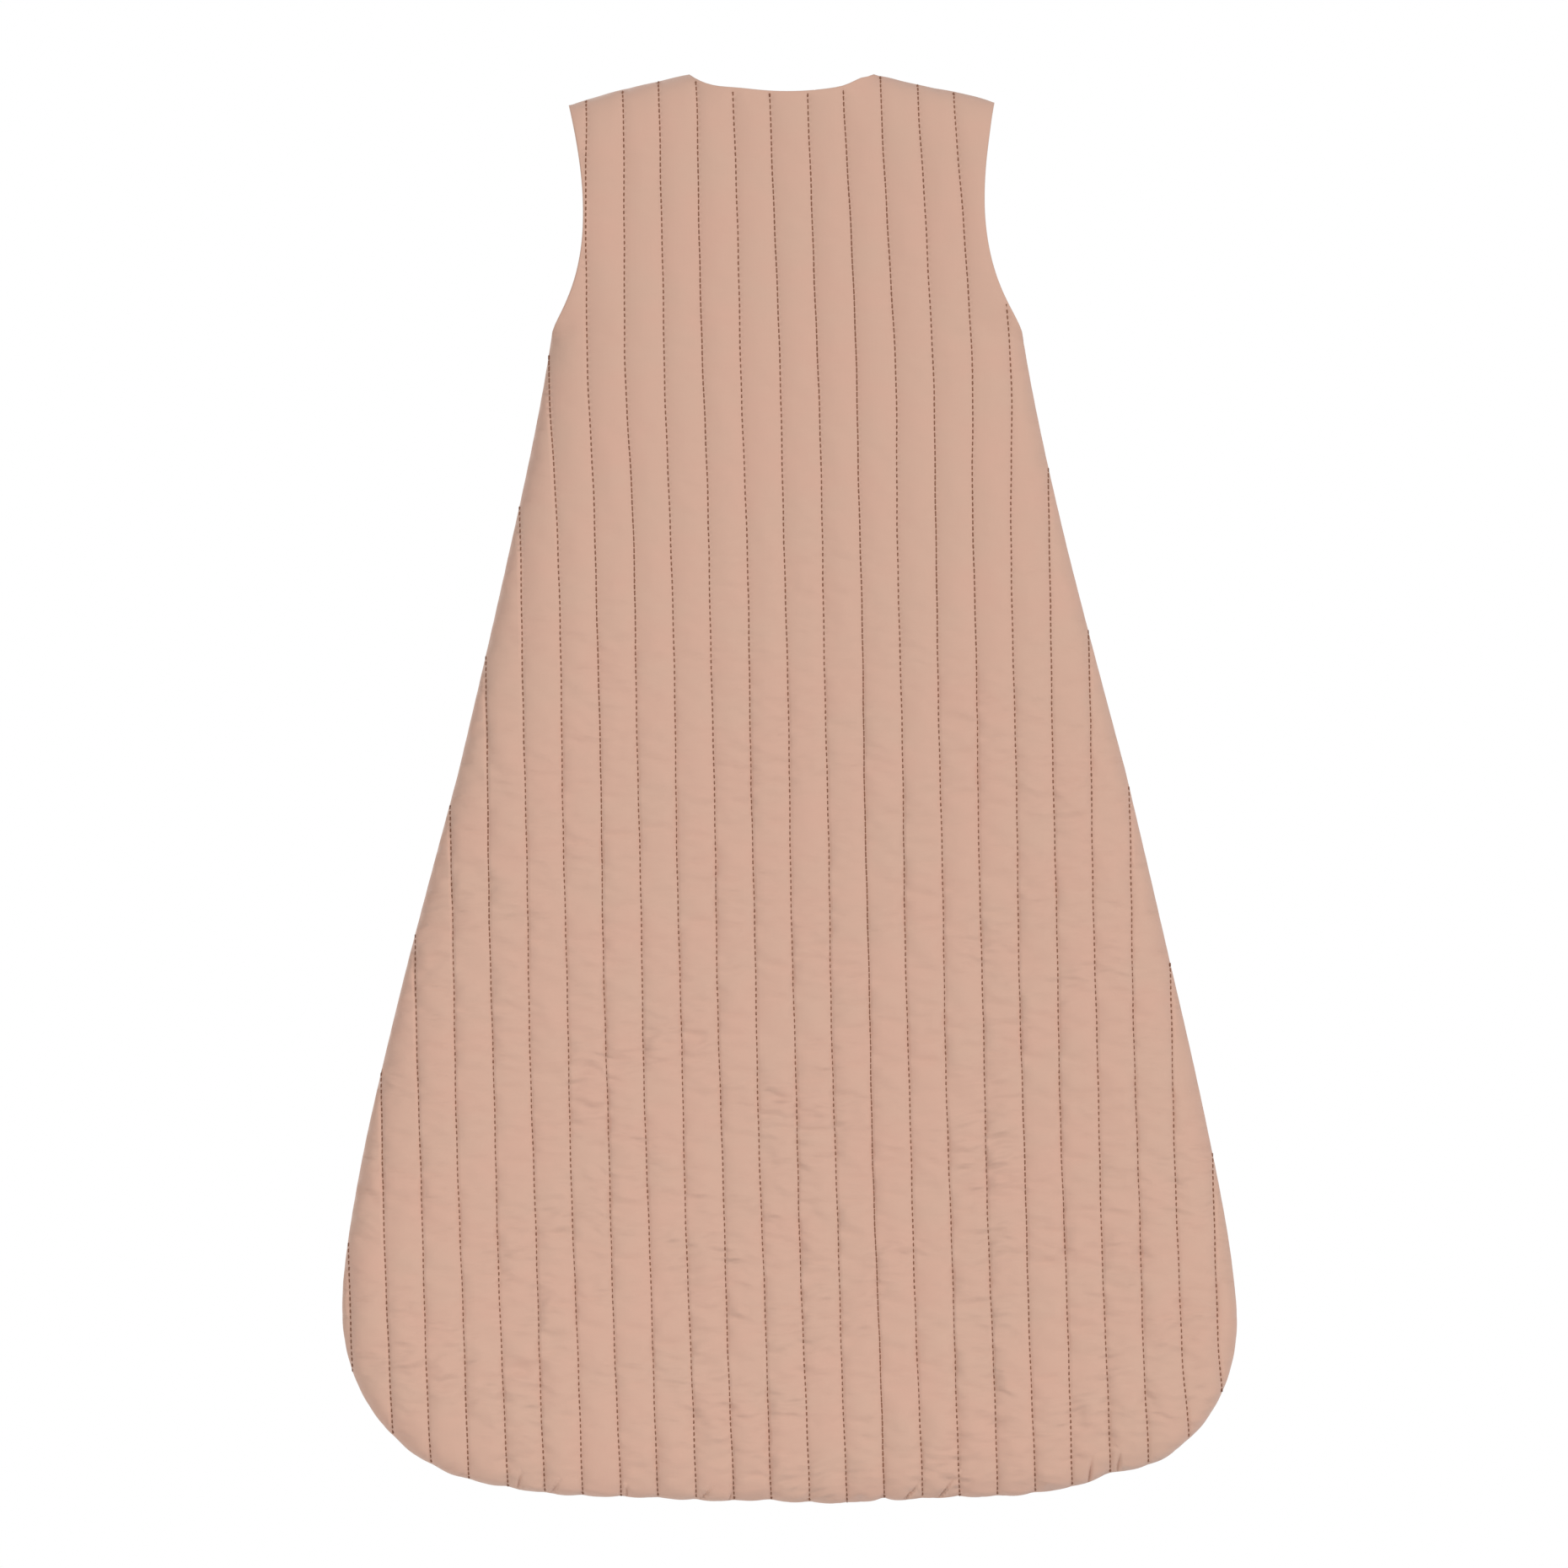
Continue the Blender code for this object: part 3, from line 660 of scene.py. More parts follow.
def wadding(name, panel, sizes, finish):
    """The fibre filling between shell and lining."""
    border = np.arange(len(panel.edge))
    index, distance = panel.nearest(panel.edge_tree, panel.points)
    inset = 0.006 * np.clip(1 - distance / 0.02, 0.0, 1.0) * (panel.kind[index] != ZIP)
    points = panel.points - panel.outward[index] * inset[:, None]
    outer = panel.outer(points)
    bulk = panel.channel(points) * smooth(panel.from_edge(points) / EDGE_RUN)
    thinned = 0.75 * sizes.groove * (1 - smooth(distance / 0.03))
    drop = np.maximum(panel.shell_drop(points, sizes.groove), thinned)
    near = outer - drop - sizes.fabric - 0.0003 - 0.0014 * bulk
    far = outer - panel.lining_drop(points, sizes.groove) + 0.0003
    filled = smooth(distance / 0.035)
    if panel.fold_side:
        filled[panel.folding(points)] = 0.0
    far = near + (far - near) * (0.3 + 0.7 * filled)
    if panel.facing > 0:
        border = border[::-1]
    vertices, faces = closed_layer(
        points, panel.faces, panel.place(points, near), panel.place(points, far), border)
    return add_piece(name, vertices, faces, finish)


# Stitches
def stitches_along(path, outward, pitch, width, tension_and_shadow=0.0):
    """Vertices and faces of separate stitches along a path in the row frame; where they are closed up they leave no
    gaps, a solid dark line that is partly tighter sewing and partly painted shadow of the groove.
    """
    steps = np.linalg.norm(np.diff(path, axis=0), axis=1)
    run = np.concatenate(([0.0], np.cumsum(steps)))
    count = max(1, round(run[-1] / pitch))
    middles = (np.arange(count) + 0.5) * run[-1] / count
    half = 0.33 + 0.17 * np.interp(middles, run, tension_and_shadow + 0.0 * run)
    rings = np.array((-1.0, -0.7, 0.7, 1.0))
    rises = np.array((-0.42, 0.17, 0.17, -0.42)) * width
    girths = np.array((0.36, 0.50, 0.50, 0.36)) * width
    places = middles[:, None] + half[:, None] * rings * pitch
    centres = np.stack([np.interp(places, run, path[:, axis]) for axis in range(3)], axis=-1)
    along = centres[:, -1] - centres[:, 0]
    along /= np.linalg.norm(along, axis=1, keepdims=True)
    across = np.cross(along, outward)
    across /= np.linalg.norm(across, axis=1, keepdims=True)
    up = np.cross(across, along)
    turns = np.radians((0, 90, 180, 270))
    round_across = girths[:, None] * np.cos(turns)
    round_up = girths[:, None] * np.sin(turns) + rises[:, None]
    vertices = (
        centres[:, :, None]
        + round_across[None, :, :, None] * across[:, None, None]
        + round_up[None, :, :, None] * up[:, None, None])
    ring = np.arange(len(turns))
    skin = [strip_faces(ring + len(turns) * step, ring + len(turns) * (step + 1)) for step in range(len(rings) - 1)]
    last = len(turns) * (len(rings) - 1)
    template = np.vstack((*skin, ring[None, ::-1], ring[None] + last))
    size = len(turns) * len(rings)
    faces = template[None] + (np.arange(count) * size)[:, None, None]
    return vertices.reshape(-1, 3), faces.reshape(-1, 4)


def joined(parts):
    """One set of vertices and faces from several."""
    vertices = []
    faces = []
    count = 0
    for part_vertices, part_faces in parts:
        vertices.append(part_vertices)
        faces += [[corner + count for corner in face] for face in part_faces]
        count += len(part_vertices)
    return np.vstack(vertices), faces


def quilting_stitches(panel, sizes):
    """The stitches of all the lines across a panel."""
    outward = np.array((0.0, panel.facing, 0.0))
    heights = np.arange(-0.902, 0.002, 0.001)
    parts = []
    reach = math.ceil(0.31 / panel.pitch)
    for index in range(-reach, reach + 1):
        line = np.column_stack((panel.line(panel.pitch, index, heights), heights))
        keep = panel.inside(line, 0.0004)
        for run in np.split(np.arange(len(line)), np.flatnonzero(np.diff(keep.astype(int))) + 1):
            if not keep[run[0]] or len(run) < 8:
                continue
            flat = line[run]
            depths = panel.outer(flat) - panel.shell_drop(flat, sizes.groove)
            # Stitches close up at random, more higher up and along one line; the solid dark lines this makes are partly
            # tighter sewing and partly painted shadow of the grooves.
            drift = np.array([noise.noise((0.73 * index, 5 * z, panel.facing)) for z in flat[:, 1]])
            upper = 0.45 * smooth((flat[:, 1] + 0.6) / 0.5)
            tension_and_shadow = np.clip(1.1 * drift - 0.2 + upper + (index == TIGHT_SHADOWED_LINE), 0.0, 1.0)
            parts.append(
                stitches_along(panel.place(flat, depths), outward, sizes.stitch_pitch, sizes.thread, tension_and_shadow))
    return parts


def zip_topstitch(panel, sizes, side):
    """The row of stitches that holds a front to the zip's tape."""
    heights = np.arange(NOTCH_FOOT - 0.003, 0.0, 0.001)
    flat = np.column_stack((np.full(len(heights), side * TOPSTITCH), heights))
    flat = flat[panel.inside(flat, 0.001)]
    depths = panel.outer(flat) - panel.shell_drop(flat, sizes.groove)
    outward = np.array((0.0, panel.facing, 0.0))
    return stitches_along(panel.place(flat, depths), outward, sizes.stitch_pitch, sizes.thread)


# Zip shapes
def grid(columns, rows):
    """Points of a grid, its quads and its border in order; the quads face +Y when x and z grow."""
    across, up = len(columns), len(rows)
    index = np.arange(across * up).reshape(up, across)
    points = np.column_stack((np.tile(columns, up), np.repeat(rows, across)))
    faces = np.stack((index[:-1, :-1], index[1:, :-1], index[1:, 1:], index[:-1, 1:]), axis=-1).reshape(-1, 4)
    border = np.concatenate((index[0], index[1:, -1], index[-1, -2::-1], index[-2:0:-1, 0]))
    return points, faces, border


def slab(columns, rows, back, front):
    """Vertices and faces of a closed slab over a grid, between two depths."""
    points, faces, border = grid(columns, rows)
    near = np.column_stack((points[:, 0], front + 0.0 * points[:, 0], points[:, 1]))
    far = np.column_stack((points[:, 0], back + 0.0 * points[:, 0], points[:, 1]))
    return closed_layer(points, faces, near, far, border[::-1])


def tube(path, profile, up):
    """Vertices and faces of a bar swept along a path; the profile is in sideways and upward distances."""
    along = np.gradient(path, axis=0)
    sideways = np.cross(along, up)
    sideways /= np.linalg.norm(sideways, axis=1, keepdims=True)
    upward = np.cross(sideways, along)
    upward /= np.linalg.norm(upward, axis=1, keepdims=True)
    vertices = (
        path[:, None]
        + profile[None, :, :1] * sideways[:, None]
        + profile[None, :, 1:] * upward[:, None]).reshape(-1, 3)
    ring = np.arange(len(profile))
    rings = [ring + len(profile) * step for step in range(len(path))]
    faces = np.vstack([strip_faces(first, second) for first, second in zip(rings, rings[1:])])
    return vertices, [*faces, rings[0][::-1], rings[-1]]


def oval(half_width, half_height, count):
    """A closed profile with rounded sides."""
    turns = np.arange(count) * 2 * math.pi / count
    return np.column_stack((half_width * np.cos(turns), half_height * np.sin(turns)))


def rounded_outline(half_width, foot, top, radius, steps=6):
    """A rectangle in the XZ plane with rounded corners."""
    corners = (
        (half_width - radius, top - radius, 0), (radius - half_width, top - radius, 90),
        (radius - half_width, foot + radius, 180), (half_width - radius, foot + radius, 270))
    return [
        (x + radius * math.cos(math.radians(start + 90 * step / steps)),
         z + radius * math.sin(math.radians(start + 90 * step / steps)))
        for x, z, start in corners for step in range(steps + 1)]


def plate(loops, back, front, edge):
    """Vertices and triangles of a flat plate with rounded edges, between two depths."""
    curve = bpy.data.curves.new("plate", "CURVE")
    curve.dimensions = "2D"
    curve.fill_mode = "BOTH"
    curve.bevel_depth = edge
    curve.bevel_resolution = 2
    curve.offset = -edge
    curve.extrude = (front - back) / 2 - edge
    for loop in loops:
        spline = curve.splines.new("POLY")
        spline.points.add(len(loop) - 1)
        for point, place in zip(spline.points, loop):
            point.co = (*place, 0.0, 1.0)
        spline.use_cyclic_u = True
    holder = bpy.data.objects.new("plate", curve)
    mesh = bpy.data.meshes.new_from_object(holder)
    mesh.calc_loop_triangles()
    flat = np.array([vertex.co for vertex in mesh.vertices])
    faces = np.array([triangle.vertices for triangle in mesh.loop_triangles])
    bpy.data.objects.remove(holder)
    bpy.data.curves.remove(curve)
    bpy.data.meshes.remove(mesh)
    return np.column_stack((flat[:, 0], (front + back) / 2 - flat[:, 2], flat[:, 1])), faces


def add_metal(name, parts, finish):
    """A metal piece from several shapes, with crisp flats."""
    piece = add_piece(name, *joined(parts), finish)
    normals = piece.modifiers.new("crisp flats", "WEIGHTED_NORMAL")
    normals.mode = "FACE_AREA"
    return piece


# Materials
class Value:
    """A socket of a material's nodes that can stand in Python sums."""

    def __init__(self, finish, socket):
        self.finish = finish
        self.socket = socket

    def maths(self, operation, first, second):
        return self.finish.node("Math", {"operation": operation}, {0: first, 1: second})

    def __add__(self, other):
        return self.maths("ADD", self, other)

    def __radd__(self, other):
        return self.maths("ADD", other, self)

    def __sub__(self, other):
        return self.maths("SUBTRACT", self, other)

    def __rsub__(self, other):
        return self.maths("SUBTRACT", other, self)

    def __mul__(self, other):
        return self.maths("MULTIPLY", self, other)

    def __rmul__(self, other):
        return self.maths("MULTIPLY", other, self)


class Finish:
    """A procedural material around one Principled shader."""

    def __init__(self, name):
        self.material = bpy.data.materials.new(name)
        self.material.use_nodes = True
        self.tree = self.material.node_tree
        self.shader = self.tree.nodes["Principled BSDF"]

    def feed(self, socket, value):
        """Set a socket to a number or colour, or link it."""
        if isinstance(value, Value):
            self.tree.links.new(value.socket, socket)
        else:
            socket.default_value = value

    def node(self, kind, settings, sockets, output=0):
        """A node with its settings and sockets; returns one of its outputs."""
        made = self.tree.nodes.new("ShaderNode" + kind)
        for key, value in settings.items():
            setattr(made, key, value)
        for key, value in sockets.items():
            self.feed(made.inputs[key], value)
        return Value(self, made.outputs[output])

    def mix(self, factor, first, second):
        """A mix of two colours."""
        colours = [colour if isinstance(colour, Value) else (*colour, 1.0) for colour in (first, second)]
        return self.node("Mix", {"data_type": "RGBA"}, {0: factor, 6: colours[0], 7: colours[1]}, output=2)

    def place(self):
        """The surface point in metres, in the piece's own frame."""
        return self.node("TexCoord", {}, {}, output=3)

    def axis(self, vector, name):
        """One axis of a vector."""
        return self.node("SeparateXYZ", {}, {0: vector}, output="XYZ".index(name))

    def noise(self, vector, scale, detail=2.0):
        """Cloudy noise from 0 to 1; scale is in clouds per metre along each axis."""
        stretched = self.node("VectorMath", {"operation": "MULTIPLY"}, {0: vector, 1: scale})
        return self.node(
            "TexNoise", {"noise_dimensions": "3D"}, {"Vector": stretched, "Scale": 1.0, "Detail": detail})

    def wave(self, value, turns):
        """A sine from 0 to 1 with a number of turns per unit of the value."""
        return self.node("Math", {"operation": "SINE"}, {0: value * (2 * math.pi * turns)}) * 0.5 + 0.5

    def between(self, value, low, high):
        """0 below one level of a value, 1 above another, and a straight rise between them."""
        return self.node("MapRange", {}, {"Value": value, "From Min": low, "From Max": high})

    def bump(self, height, distance, strength=1.0, **coarser):
        """A surface normal from a height between 0 and 1, over a coarser Normal if one is given."""
        return self.node("Bump", {}, {"Strength": strength, "Distance": distance, "Height": height, **coarser})

    def surface(self, **values):
        """Set the shader's sockets; names use _ for a space."""
        for key, value in values.items():
            self.feed(self.shader.inputs[key.replace("_", " ")], value)
        return self.material


def tinted(colour, factor):
    """A colour made lighter or darker."""
    return tuple(min(1.0, channel * factor) for channel in colour)


def cloth_finish(name, colour, thread_pitch, mottle):
    """A fine plain weave with slightly uneven yarns, random pinker and more beige patches, and with crinkles lower
    down.
    """
    finish = Finish(name)
    point = finish.place()
    x = finish.axis(point, "X")
    z = finish.axis(point, "Z")
    warp = finish.wave(x, 1 / thread_pitch)
    weft = finish.wave(z, 1 / thread_pitch)
    weave = warp * weft + (1 - warp) * (1 - weft)
    yarns = finish.noise(point, (900.0, 900.0, 60.0)) + finish.noise(point, (60.0, 60.0, 900.0))
    cloud = finish.noise(point, (14.0, 14.0, 9.0), 3.0)
    tint_patches = finish.between(finish.noise(point, (26.0, 26.0, 34.0)), 0.3, 0.7)
    shade = finish.mix(cloud, tinted(colour, 1 - mottle), tinted(colour, 1 + mottle))
    fleck = finish.mix(yarns * 0.5, tinted(colour, 0.95), tinted(colour, 1.05))
    hue = finish.mix(tint_patches, np.multiply(colour, (0.98, 1.015, 1.01)), np.multiply(colour, (1.02, 0.985, 0.99)))
    lower = finish.between(-1 * z, 0.20, 0.60) * 0.85 + 0.15
    patches = finish.between(finish.noise(point, (24.0, 24.0, 20.0)), 0.38, 0.66)
    drawn = finish.node("CombineXYZ", {}, {"X": x, "Z": z + 0.03 * cloud})
    crinkle = (finish.noise(drawn, (45.0, 45.0, 100.0), 1.0) - 0.5) * lower * patches
    return finish.surface(
        Base_Color=finish.mix(0.6, finish.mix(0.4, shade, fleck), hue),
        Roughness=0.86 + 0.1 * cloud,
        Normal=finish.bump(
            0.6 * weave + 0.4 * yarns, 0.00008, 0.6, Normal=finish.bump(crinkle, CRINKLE_DEPTH)),
        Specular_IOR_Level=0.25,
        Sheen_Weight=0.3,
        Sheen_Roughness=0.5,
    )


def wadding_finish(colour):
    """Fluffy fibre."""
    finish = Finish("wadding_fibre")
    point = finish.place()
    fluff = finish.noise(point, (260.0, 260.0, 260.0), 6.0)
    return finish.surface(
        Base_Color=finish.mix(fluff, tinted(colour, 0.9), tinted(colour, 1.05)),
        Roughness=0.95,
        Normal=finish.bump(fluff, 0.0008),
    )


def thread_finish(colour):
    """Twisted polyester thread; its dark colour also holds the painted shade of the needle holes."""
    finish = Finish("sewing_thread_hole_shade")
    point = finish.place()
    twist = finish.wave(finish.axis(point, "Z") + finish.axis(point, "X"), 1 / 0.0005)
    drift = finish.noise(point, (40.0, 40.0, 40.0))
    return finish.surface(
        Base_Color=finish.mix(drift, tinted(colour, 0.85), tinted(colour, 1.2)),
        Roughness=0.6 + 0.15 * twist,
        Normal=finish.bump(twist, 0.00005),
    )


def tape_finish(colour):
    """Herringbone tape, with a firmer cord along the teeth."""
    finish = Finish("zip_tape_herringbone")
    point = finish.place()
    across = finish.axis(point, "X")
    bands = finish.node("Math", {"operation": "PINGPONG"}, {0: across, 1: 0.0012})
    rib = finish.wave(finish.axis(point, "Z") + bands, 1 / 0.0009)
    wear = finish.noise(point, (70.0, 70.0, 70.0))
    # The rib's valleys are painted darker and its crests lighter: painted shade that follows the rib's bump.
    shade = finish.mix(rib, tinted(colour, 0.82), tinted(colour, 1.08))
    return finish.surface(
        Base_Color=finish.mix(0.3 * wear, shade, tinted(colour, 1.15)),
        Roughness=0.75 + 0.1 * rib,
        Normal=finish.bump(rib, 0.00015),
    )


def coil_finish(colour):
    """Drawn nylon, slightly glossy."""
    finish = Finish("zip_coil_nylon")
    point = finish.place()
    drift = finish.noise(point, (300.0, 300.0, 60.0))
    return finish.surface(
        Base_Color=finish.mix(drift, tinted(colour, 0.88), tinted(colour, 1.1)),
        Roughness=0.34 + 0.16 * drift,
        Specular_IOR_Level=0.5,
    )


def enamel_finish(colour):
    """Smooth enamel over zinc, rubbed through a little in random spots."""
    finish = Finish("zip_enamel")
    point = finish.place()
    speckle = finish.noise(point, (900.0, 900.0, 900.0), 4.0)
    rub = finish.noise(point, (350.0, 350.0, 350.0), 3.0)
    rubbed = finish.node(
        "MapRange", {}, {"Value": rub, "From Min": 0.62, "From Max": 0.72, "To Min": 0.0, "To Max": 0.5})
    return finish.surface(
        Base_Color=finish.mix(rubbed, colour, (0.56, 0.52, 0.48)),
        Metallic=rubbed,
        Roughness=0.28 + 0.12 * speckle,
        Normal=finish.bump(speckle, 0.00003),
        Coat_Weight=0.3,
        Coat_Roughness=0.15,
    )


def finish_named(name, make, *values):
    """A material that is made once and shared after that."""
    return bpy.data.materials.get(name) or make(*values)


def shell_cloth(colours):
    return finish_named("shell_cloth_weave", cloth_finish, "shell_cloth_weave", tuple(colours.cloth), 0.0007, 0.022)


def lining_cloth(colours):
    return finish_named("lining_jersey", cloth_finish, "lining_jersey", tuple(colours.lining), 0.0009, 0.02)


def thread_and_hole_shade(colours):
    return finish_named("sewing_thread_hole_shade", thread_finish, tuple(colours.thread))


def zip_tape_weave(colours):
    return finish_named("zip_tape_herringbone", tape_finish, tuple(colours.tape))


def zip_nylon(colours):
    return finish_named("zip_coil_nylon", coil_finish, tuple(colours.coil))


def zip_enamel(colours):
    return finish_named("zip_enamel", enamel_finish, tuple(colours.enamel))


def wadding_fibre(colours):
    return finish_named("wadding_fibre", wadding_finish, tuple(colours.wadding))


# Placement of the front and zip pieces
def fold_open(piece, side):
    """Bake a piece's placement into its mesh; the fold line from the zip's foot to the neckline is worked out, but the
    piece is not folded.
    """
    foot, _, across = fold_line(side)
    end = foot + FOLD_WIDTH * across
    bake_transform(piece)


class SLEEPBAG_OT_back(bpy.types.Operator):
    """Make the quilted back: shell, wadding, lining and stitching."""

    bl_idname = "sleepbag.back"
    bl_label = "Quilted back"

    def execute(self, context):
        sizes = context.scene.quilt_sizes
        colours = context.scene.bag_colours
        edges = back_edges()
        fine = Panel(edges, back_line, sizes.pitch, -1, FINE_COLUMNS, 0.0044, 0.0022)
        middling = Panel(edges, back_line, sizes.pitch, -1, MIDDLING_COLUMNS, 0.0065)
        coarse = Panel(edges, back_line, sizes.pitch, -1, MIDDLING_COLUMNS, 0.0065)
        outer = shell("back_shell", fine, sizes, shell_cloth(colours))
        inner = lining("back_lining_cloth", middling, sizes, lining_cloth(colours))
        filling = wadding("back_wadding_fill", coarse, sizes, wadding_fibre(colours))
        seams = add_piece(
            "back_stitching", *joined(quilting_stitches(fine, sizes)), thread_and_hole_shade(colours))
        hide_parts("back_outer")
        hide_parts("back_lining")
        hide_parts("back_wadding")
        for piece, slot in ((outer, "shell_cloth"), (inner, "lining_cloth"), (filling, "wadding"), (seams, "shell_cloth")):
            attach(piece, "bag")
        return {"FINISHED"}


class SLEEPBAG_OT_front(bpy.types.Operator):
    """Make the two quilted fronts, one on each side of the zip."""

    bl_idname = "sleepbag.front"
    bl_label = "Quilted fronts"

    def execute(self, context):
        sizes = context.scene.quilt_sizes
        colours = context.scene.bag_colours
        for side, name in ((1, "right"), (-1, "left")):
            edges = front_edges(ZIP_REVEAL, NOTCH_FOOT)
            filled_edges = front_edges(TAPE_HIGH.x + 0.0005, FOOT_LOW.z - 0.0005)
            if side < 0:
                edges = flipped(edges)
                filled_edges = flipped(filled_edges)
            fine = Panel(edges, front_line, sizes.pitch, 1, FINE_COLUMNS, 0.0042, fold_side=side)
            middling = Panel(edges, front_line, sizes.pitch, 1, MIDDLING_COLUMNS, 0.0065, fold_side=side)
            coarse = Panel(filled_edges, front_line, sizes.pitch, 1, MIDDLING_COLUMNS, 0.0065, fold_side=side)
            fine.sewn |= np.abs(fine.points[:, 0]) < TOPSTITCH + 0.0015
            outer = shell("front_shell_" + name, fine, sizes, shell_cloth(colours))
            inner = lining("front_lining_cloth_" + name, middling, sizes, lining_cloth(colours))
            filling = wadding("front_wadding_fill_" + name, coarse, sizes, wadding_fibre(colours))
            rows = quilting_stitches(fine, sizes) + [zip_topstitch(fine, sizes, side)]
            seams = add_piece("front_stitching_" + name, *joined(rows), thread_and_hole_shade(colours))
            for piece, layer, slot in (
                    (outer, "outer", "shell_cloth"), (inner, "lining", "lining_cloth"), (filling, "wadding", "wadding")):
                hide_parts(f"front_{name}_{layer}", f"flap_{name}_{layer}")
            for piece in (outer, inner, filling, seams):
                fold_open(piece, side)
        return {"FINISHED"}


class SLEEPBAG_OT_zip_tapes(bpy.types.Operator):
    """Make the two woven tapes of the zip."""

    bl_idname = "sleepbag.zip_tapes"
    bl_label = "Zip tapes"

    def execute(self, context):
        finish = zip_tape_weave(context.scene.bag_colours)
        for side, name in ((1, "right"), (-1, "left")):
            cord_columns = np.array((0.0, 0.0006, 0.0014))
            columns = TAPE_LOW.x + np.concatenate((cord_columns, np.linspace(0.0024, 0.0150, 12)))
            rows = np.linspace(FOOT_LOW.z, TAPE_HIGH.z, 120)
            cord = 0.0002 * np.array([0.0, 1.0, 1.0] + [0.0] * 12)
            if side < 0:
                columns = -columns[::-1]
                cord = cord[::-1]
            piece = add_piece(
                "zip_tape_weave_" + name,
                *slab(columns, rows, TAPE_LOW.y, TAPE_HIGH.y + np.tile(cord, len(rows))), finish)
            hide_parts("zip_tape_" + name, "zip_tape_foot_" + name)
            fold_open(piece, side)
        return {"FINISHED"}


class SLEEPBAG_OT_zip_coils(bpy.types.Operator):
    """Wind the two nylon coils of the zip."""

    bl_idname = "sleepbag.zip_coils"
    bl_label = "Zip coils"

    def execute(self, context):
        sizes = context.scene.zip_sizes
        radius = sizes.wire / 2
        finish = zip_nylon(context.scene.bag_colours)
        foot = COIL_FOOT_LOW.z + 2 * radius
        turns = int((COIL_HIGH.z - foot) / sizes.tooth_pitch) - 1
        outer_x = COIL_HIGH.x
        middle_y = (COIL_LOW.y + COIL_HIGH.y) / 2
        half_y = (COIL_HIGH.y - COIL_LOW.y) / 2 - radius
        steps = np.arange(turns * 10 + 1) / 10
        for side, name in ((1, "right"), (-1, "left")):
            z = foot + (steps + (0.5 if side < 0 else 0.0)) * sizes.tooth_pitch
            parted = smooth((z - SLIDER_HIGH.z + 0.005) / 0.002)
            inner_x = -0.00036 + 0.0017 * parted
            angle = 2 * math.pi * steps
            x = (outer_x + inner_x) / 2 + (outer_x - inner_x) / 2 * np.cos(angle)
            path = np.column_stack((side * x, middle_y + half_y * np.sin(angle), z))
            piece = add_piece(
                "zip_coil_wire_" + name, *tube(path, oval(radius, radius, 5), (0.0, 0.0, 1.0)), finish)
            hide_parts("zip_coil_" + name, "zip_coil_foot_" + name)
            fold_open(piece, side)
        return {"FINISHED"}


class SLEEPBAG_OT_zip_stops(bpy.types.Operator):
    """Make the metal stops at both ends of the zip."""

    bl_idname = "sleepbag.zip_stops"
    bl_label = "Zip stops"

    def execute(self, context):
        edge = context.scene.zip_sizes.edge
        finish = zip_enamel(context.scene.bag_colours)
        for node, body in (
                ("zip_top_stop_right", "flap_right"), ("zip_top_stop_left", "flap_left"), ("zip_bottom_stop", "bag")):
            low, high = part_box(node)
            middle = (low.x + high.x) / 2
            half = (high.x - low.x) / 2
            band = rounded_outline(half, low.z, high.z, 0.0007)
            waist = rounded_outline(half, (low.z + high.z) / 2 - 0.0004, (low.z + high.z) / 2 + 0.0004, 0.0003)
            parts = [plate([band], low.y, high.y - 0.0003, edge), plate([waist], low.y + 0.0004, high.y, edge)]
            parts = [(vertices + (middle, 0.0, 0.0), faces) for vertices, faces in parts]
            piece = add_metal(node + "_crimp", parts, finish)
            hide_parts(node)
            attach(piece, body)
        return {"FINISHED"}


class SLEEPBAG_OT_zip_slider(bpy.types.Operator):
    """Make the slider: two plates, side walls and the loop that holds the pull tab."""

    bl_idname = "sleepbag.zip_slider"
    bl_label = "Zip slider"

    def execute(self, context):
        sizes = context.scene.zip_sizes
        half = SLIDER_HIGH.x
        foot, top = SLIDER_LOW.z, SLIDER_HIGH.z
        middle = (foot + top) / 2
        back = SLIDER_LOW.y
        front = COIL_HIGH.y + 0.0003 + sizes.plate
        outline = rounded_outline(half, foot, top, 0.0016)
        wall = rounded_outline(sizes.flange / 2, foot + 0.0012, top - 0.0012, 0.0003)
        parts = [
            plate([outline], front - sizes.plate, front, sizes.edge),
            plate([outline], back, back + sizes.plate, sizes.edge),
        ]
        for side in (1, -1):
            vertices, faces = plate([wall], TAPE_HIGH.y + 0.0003, front - 0.0002, 0.0001)
            parts.append((vertices + (side * (half - sizes.flange / 2), 0.0, 0.0), faces))
        reach = sizes.crown_span / 2 - sizes.crown_wall / 2
        height = SLIDER_HIGH.y - sizes.crown_wall / 2
        arch = bezier((front - 0.0003, -reach), (height - 0.0004, -reach), (height, -reach + 0.0006), (height, 0.0), 12)
        arch = np.vstack((arch, (arch * (1.0, -1.0))[-2::-1]))
        path = np.column_stack((np.zeros(len(arch)), arch[:, 0], middle + arch[:, 1]))
        parts.append(tube(path, oval(sizes.crown_wall / 2, sizes.crown_width / 2, 12), (1.0, 0.0, 0.0)))
        piece = add_metal("zip_slider_body", parts, zip_enamel(context.scene.bag_colours))
        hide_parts("zip_slider")
        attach(piece, "zip_slider")
        return {"FINISHED"}


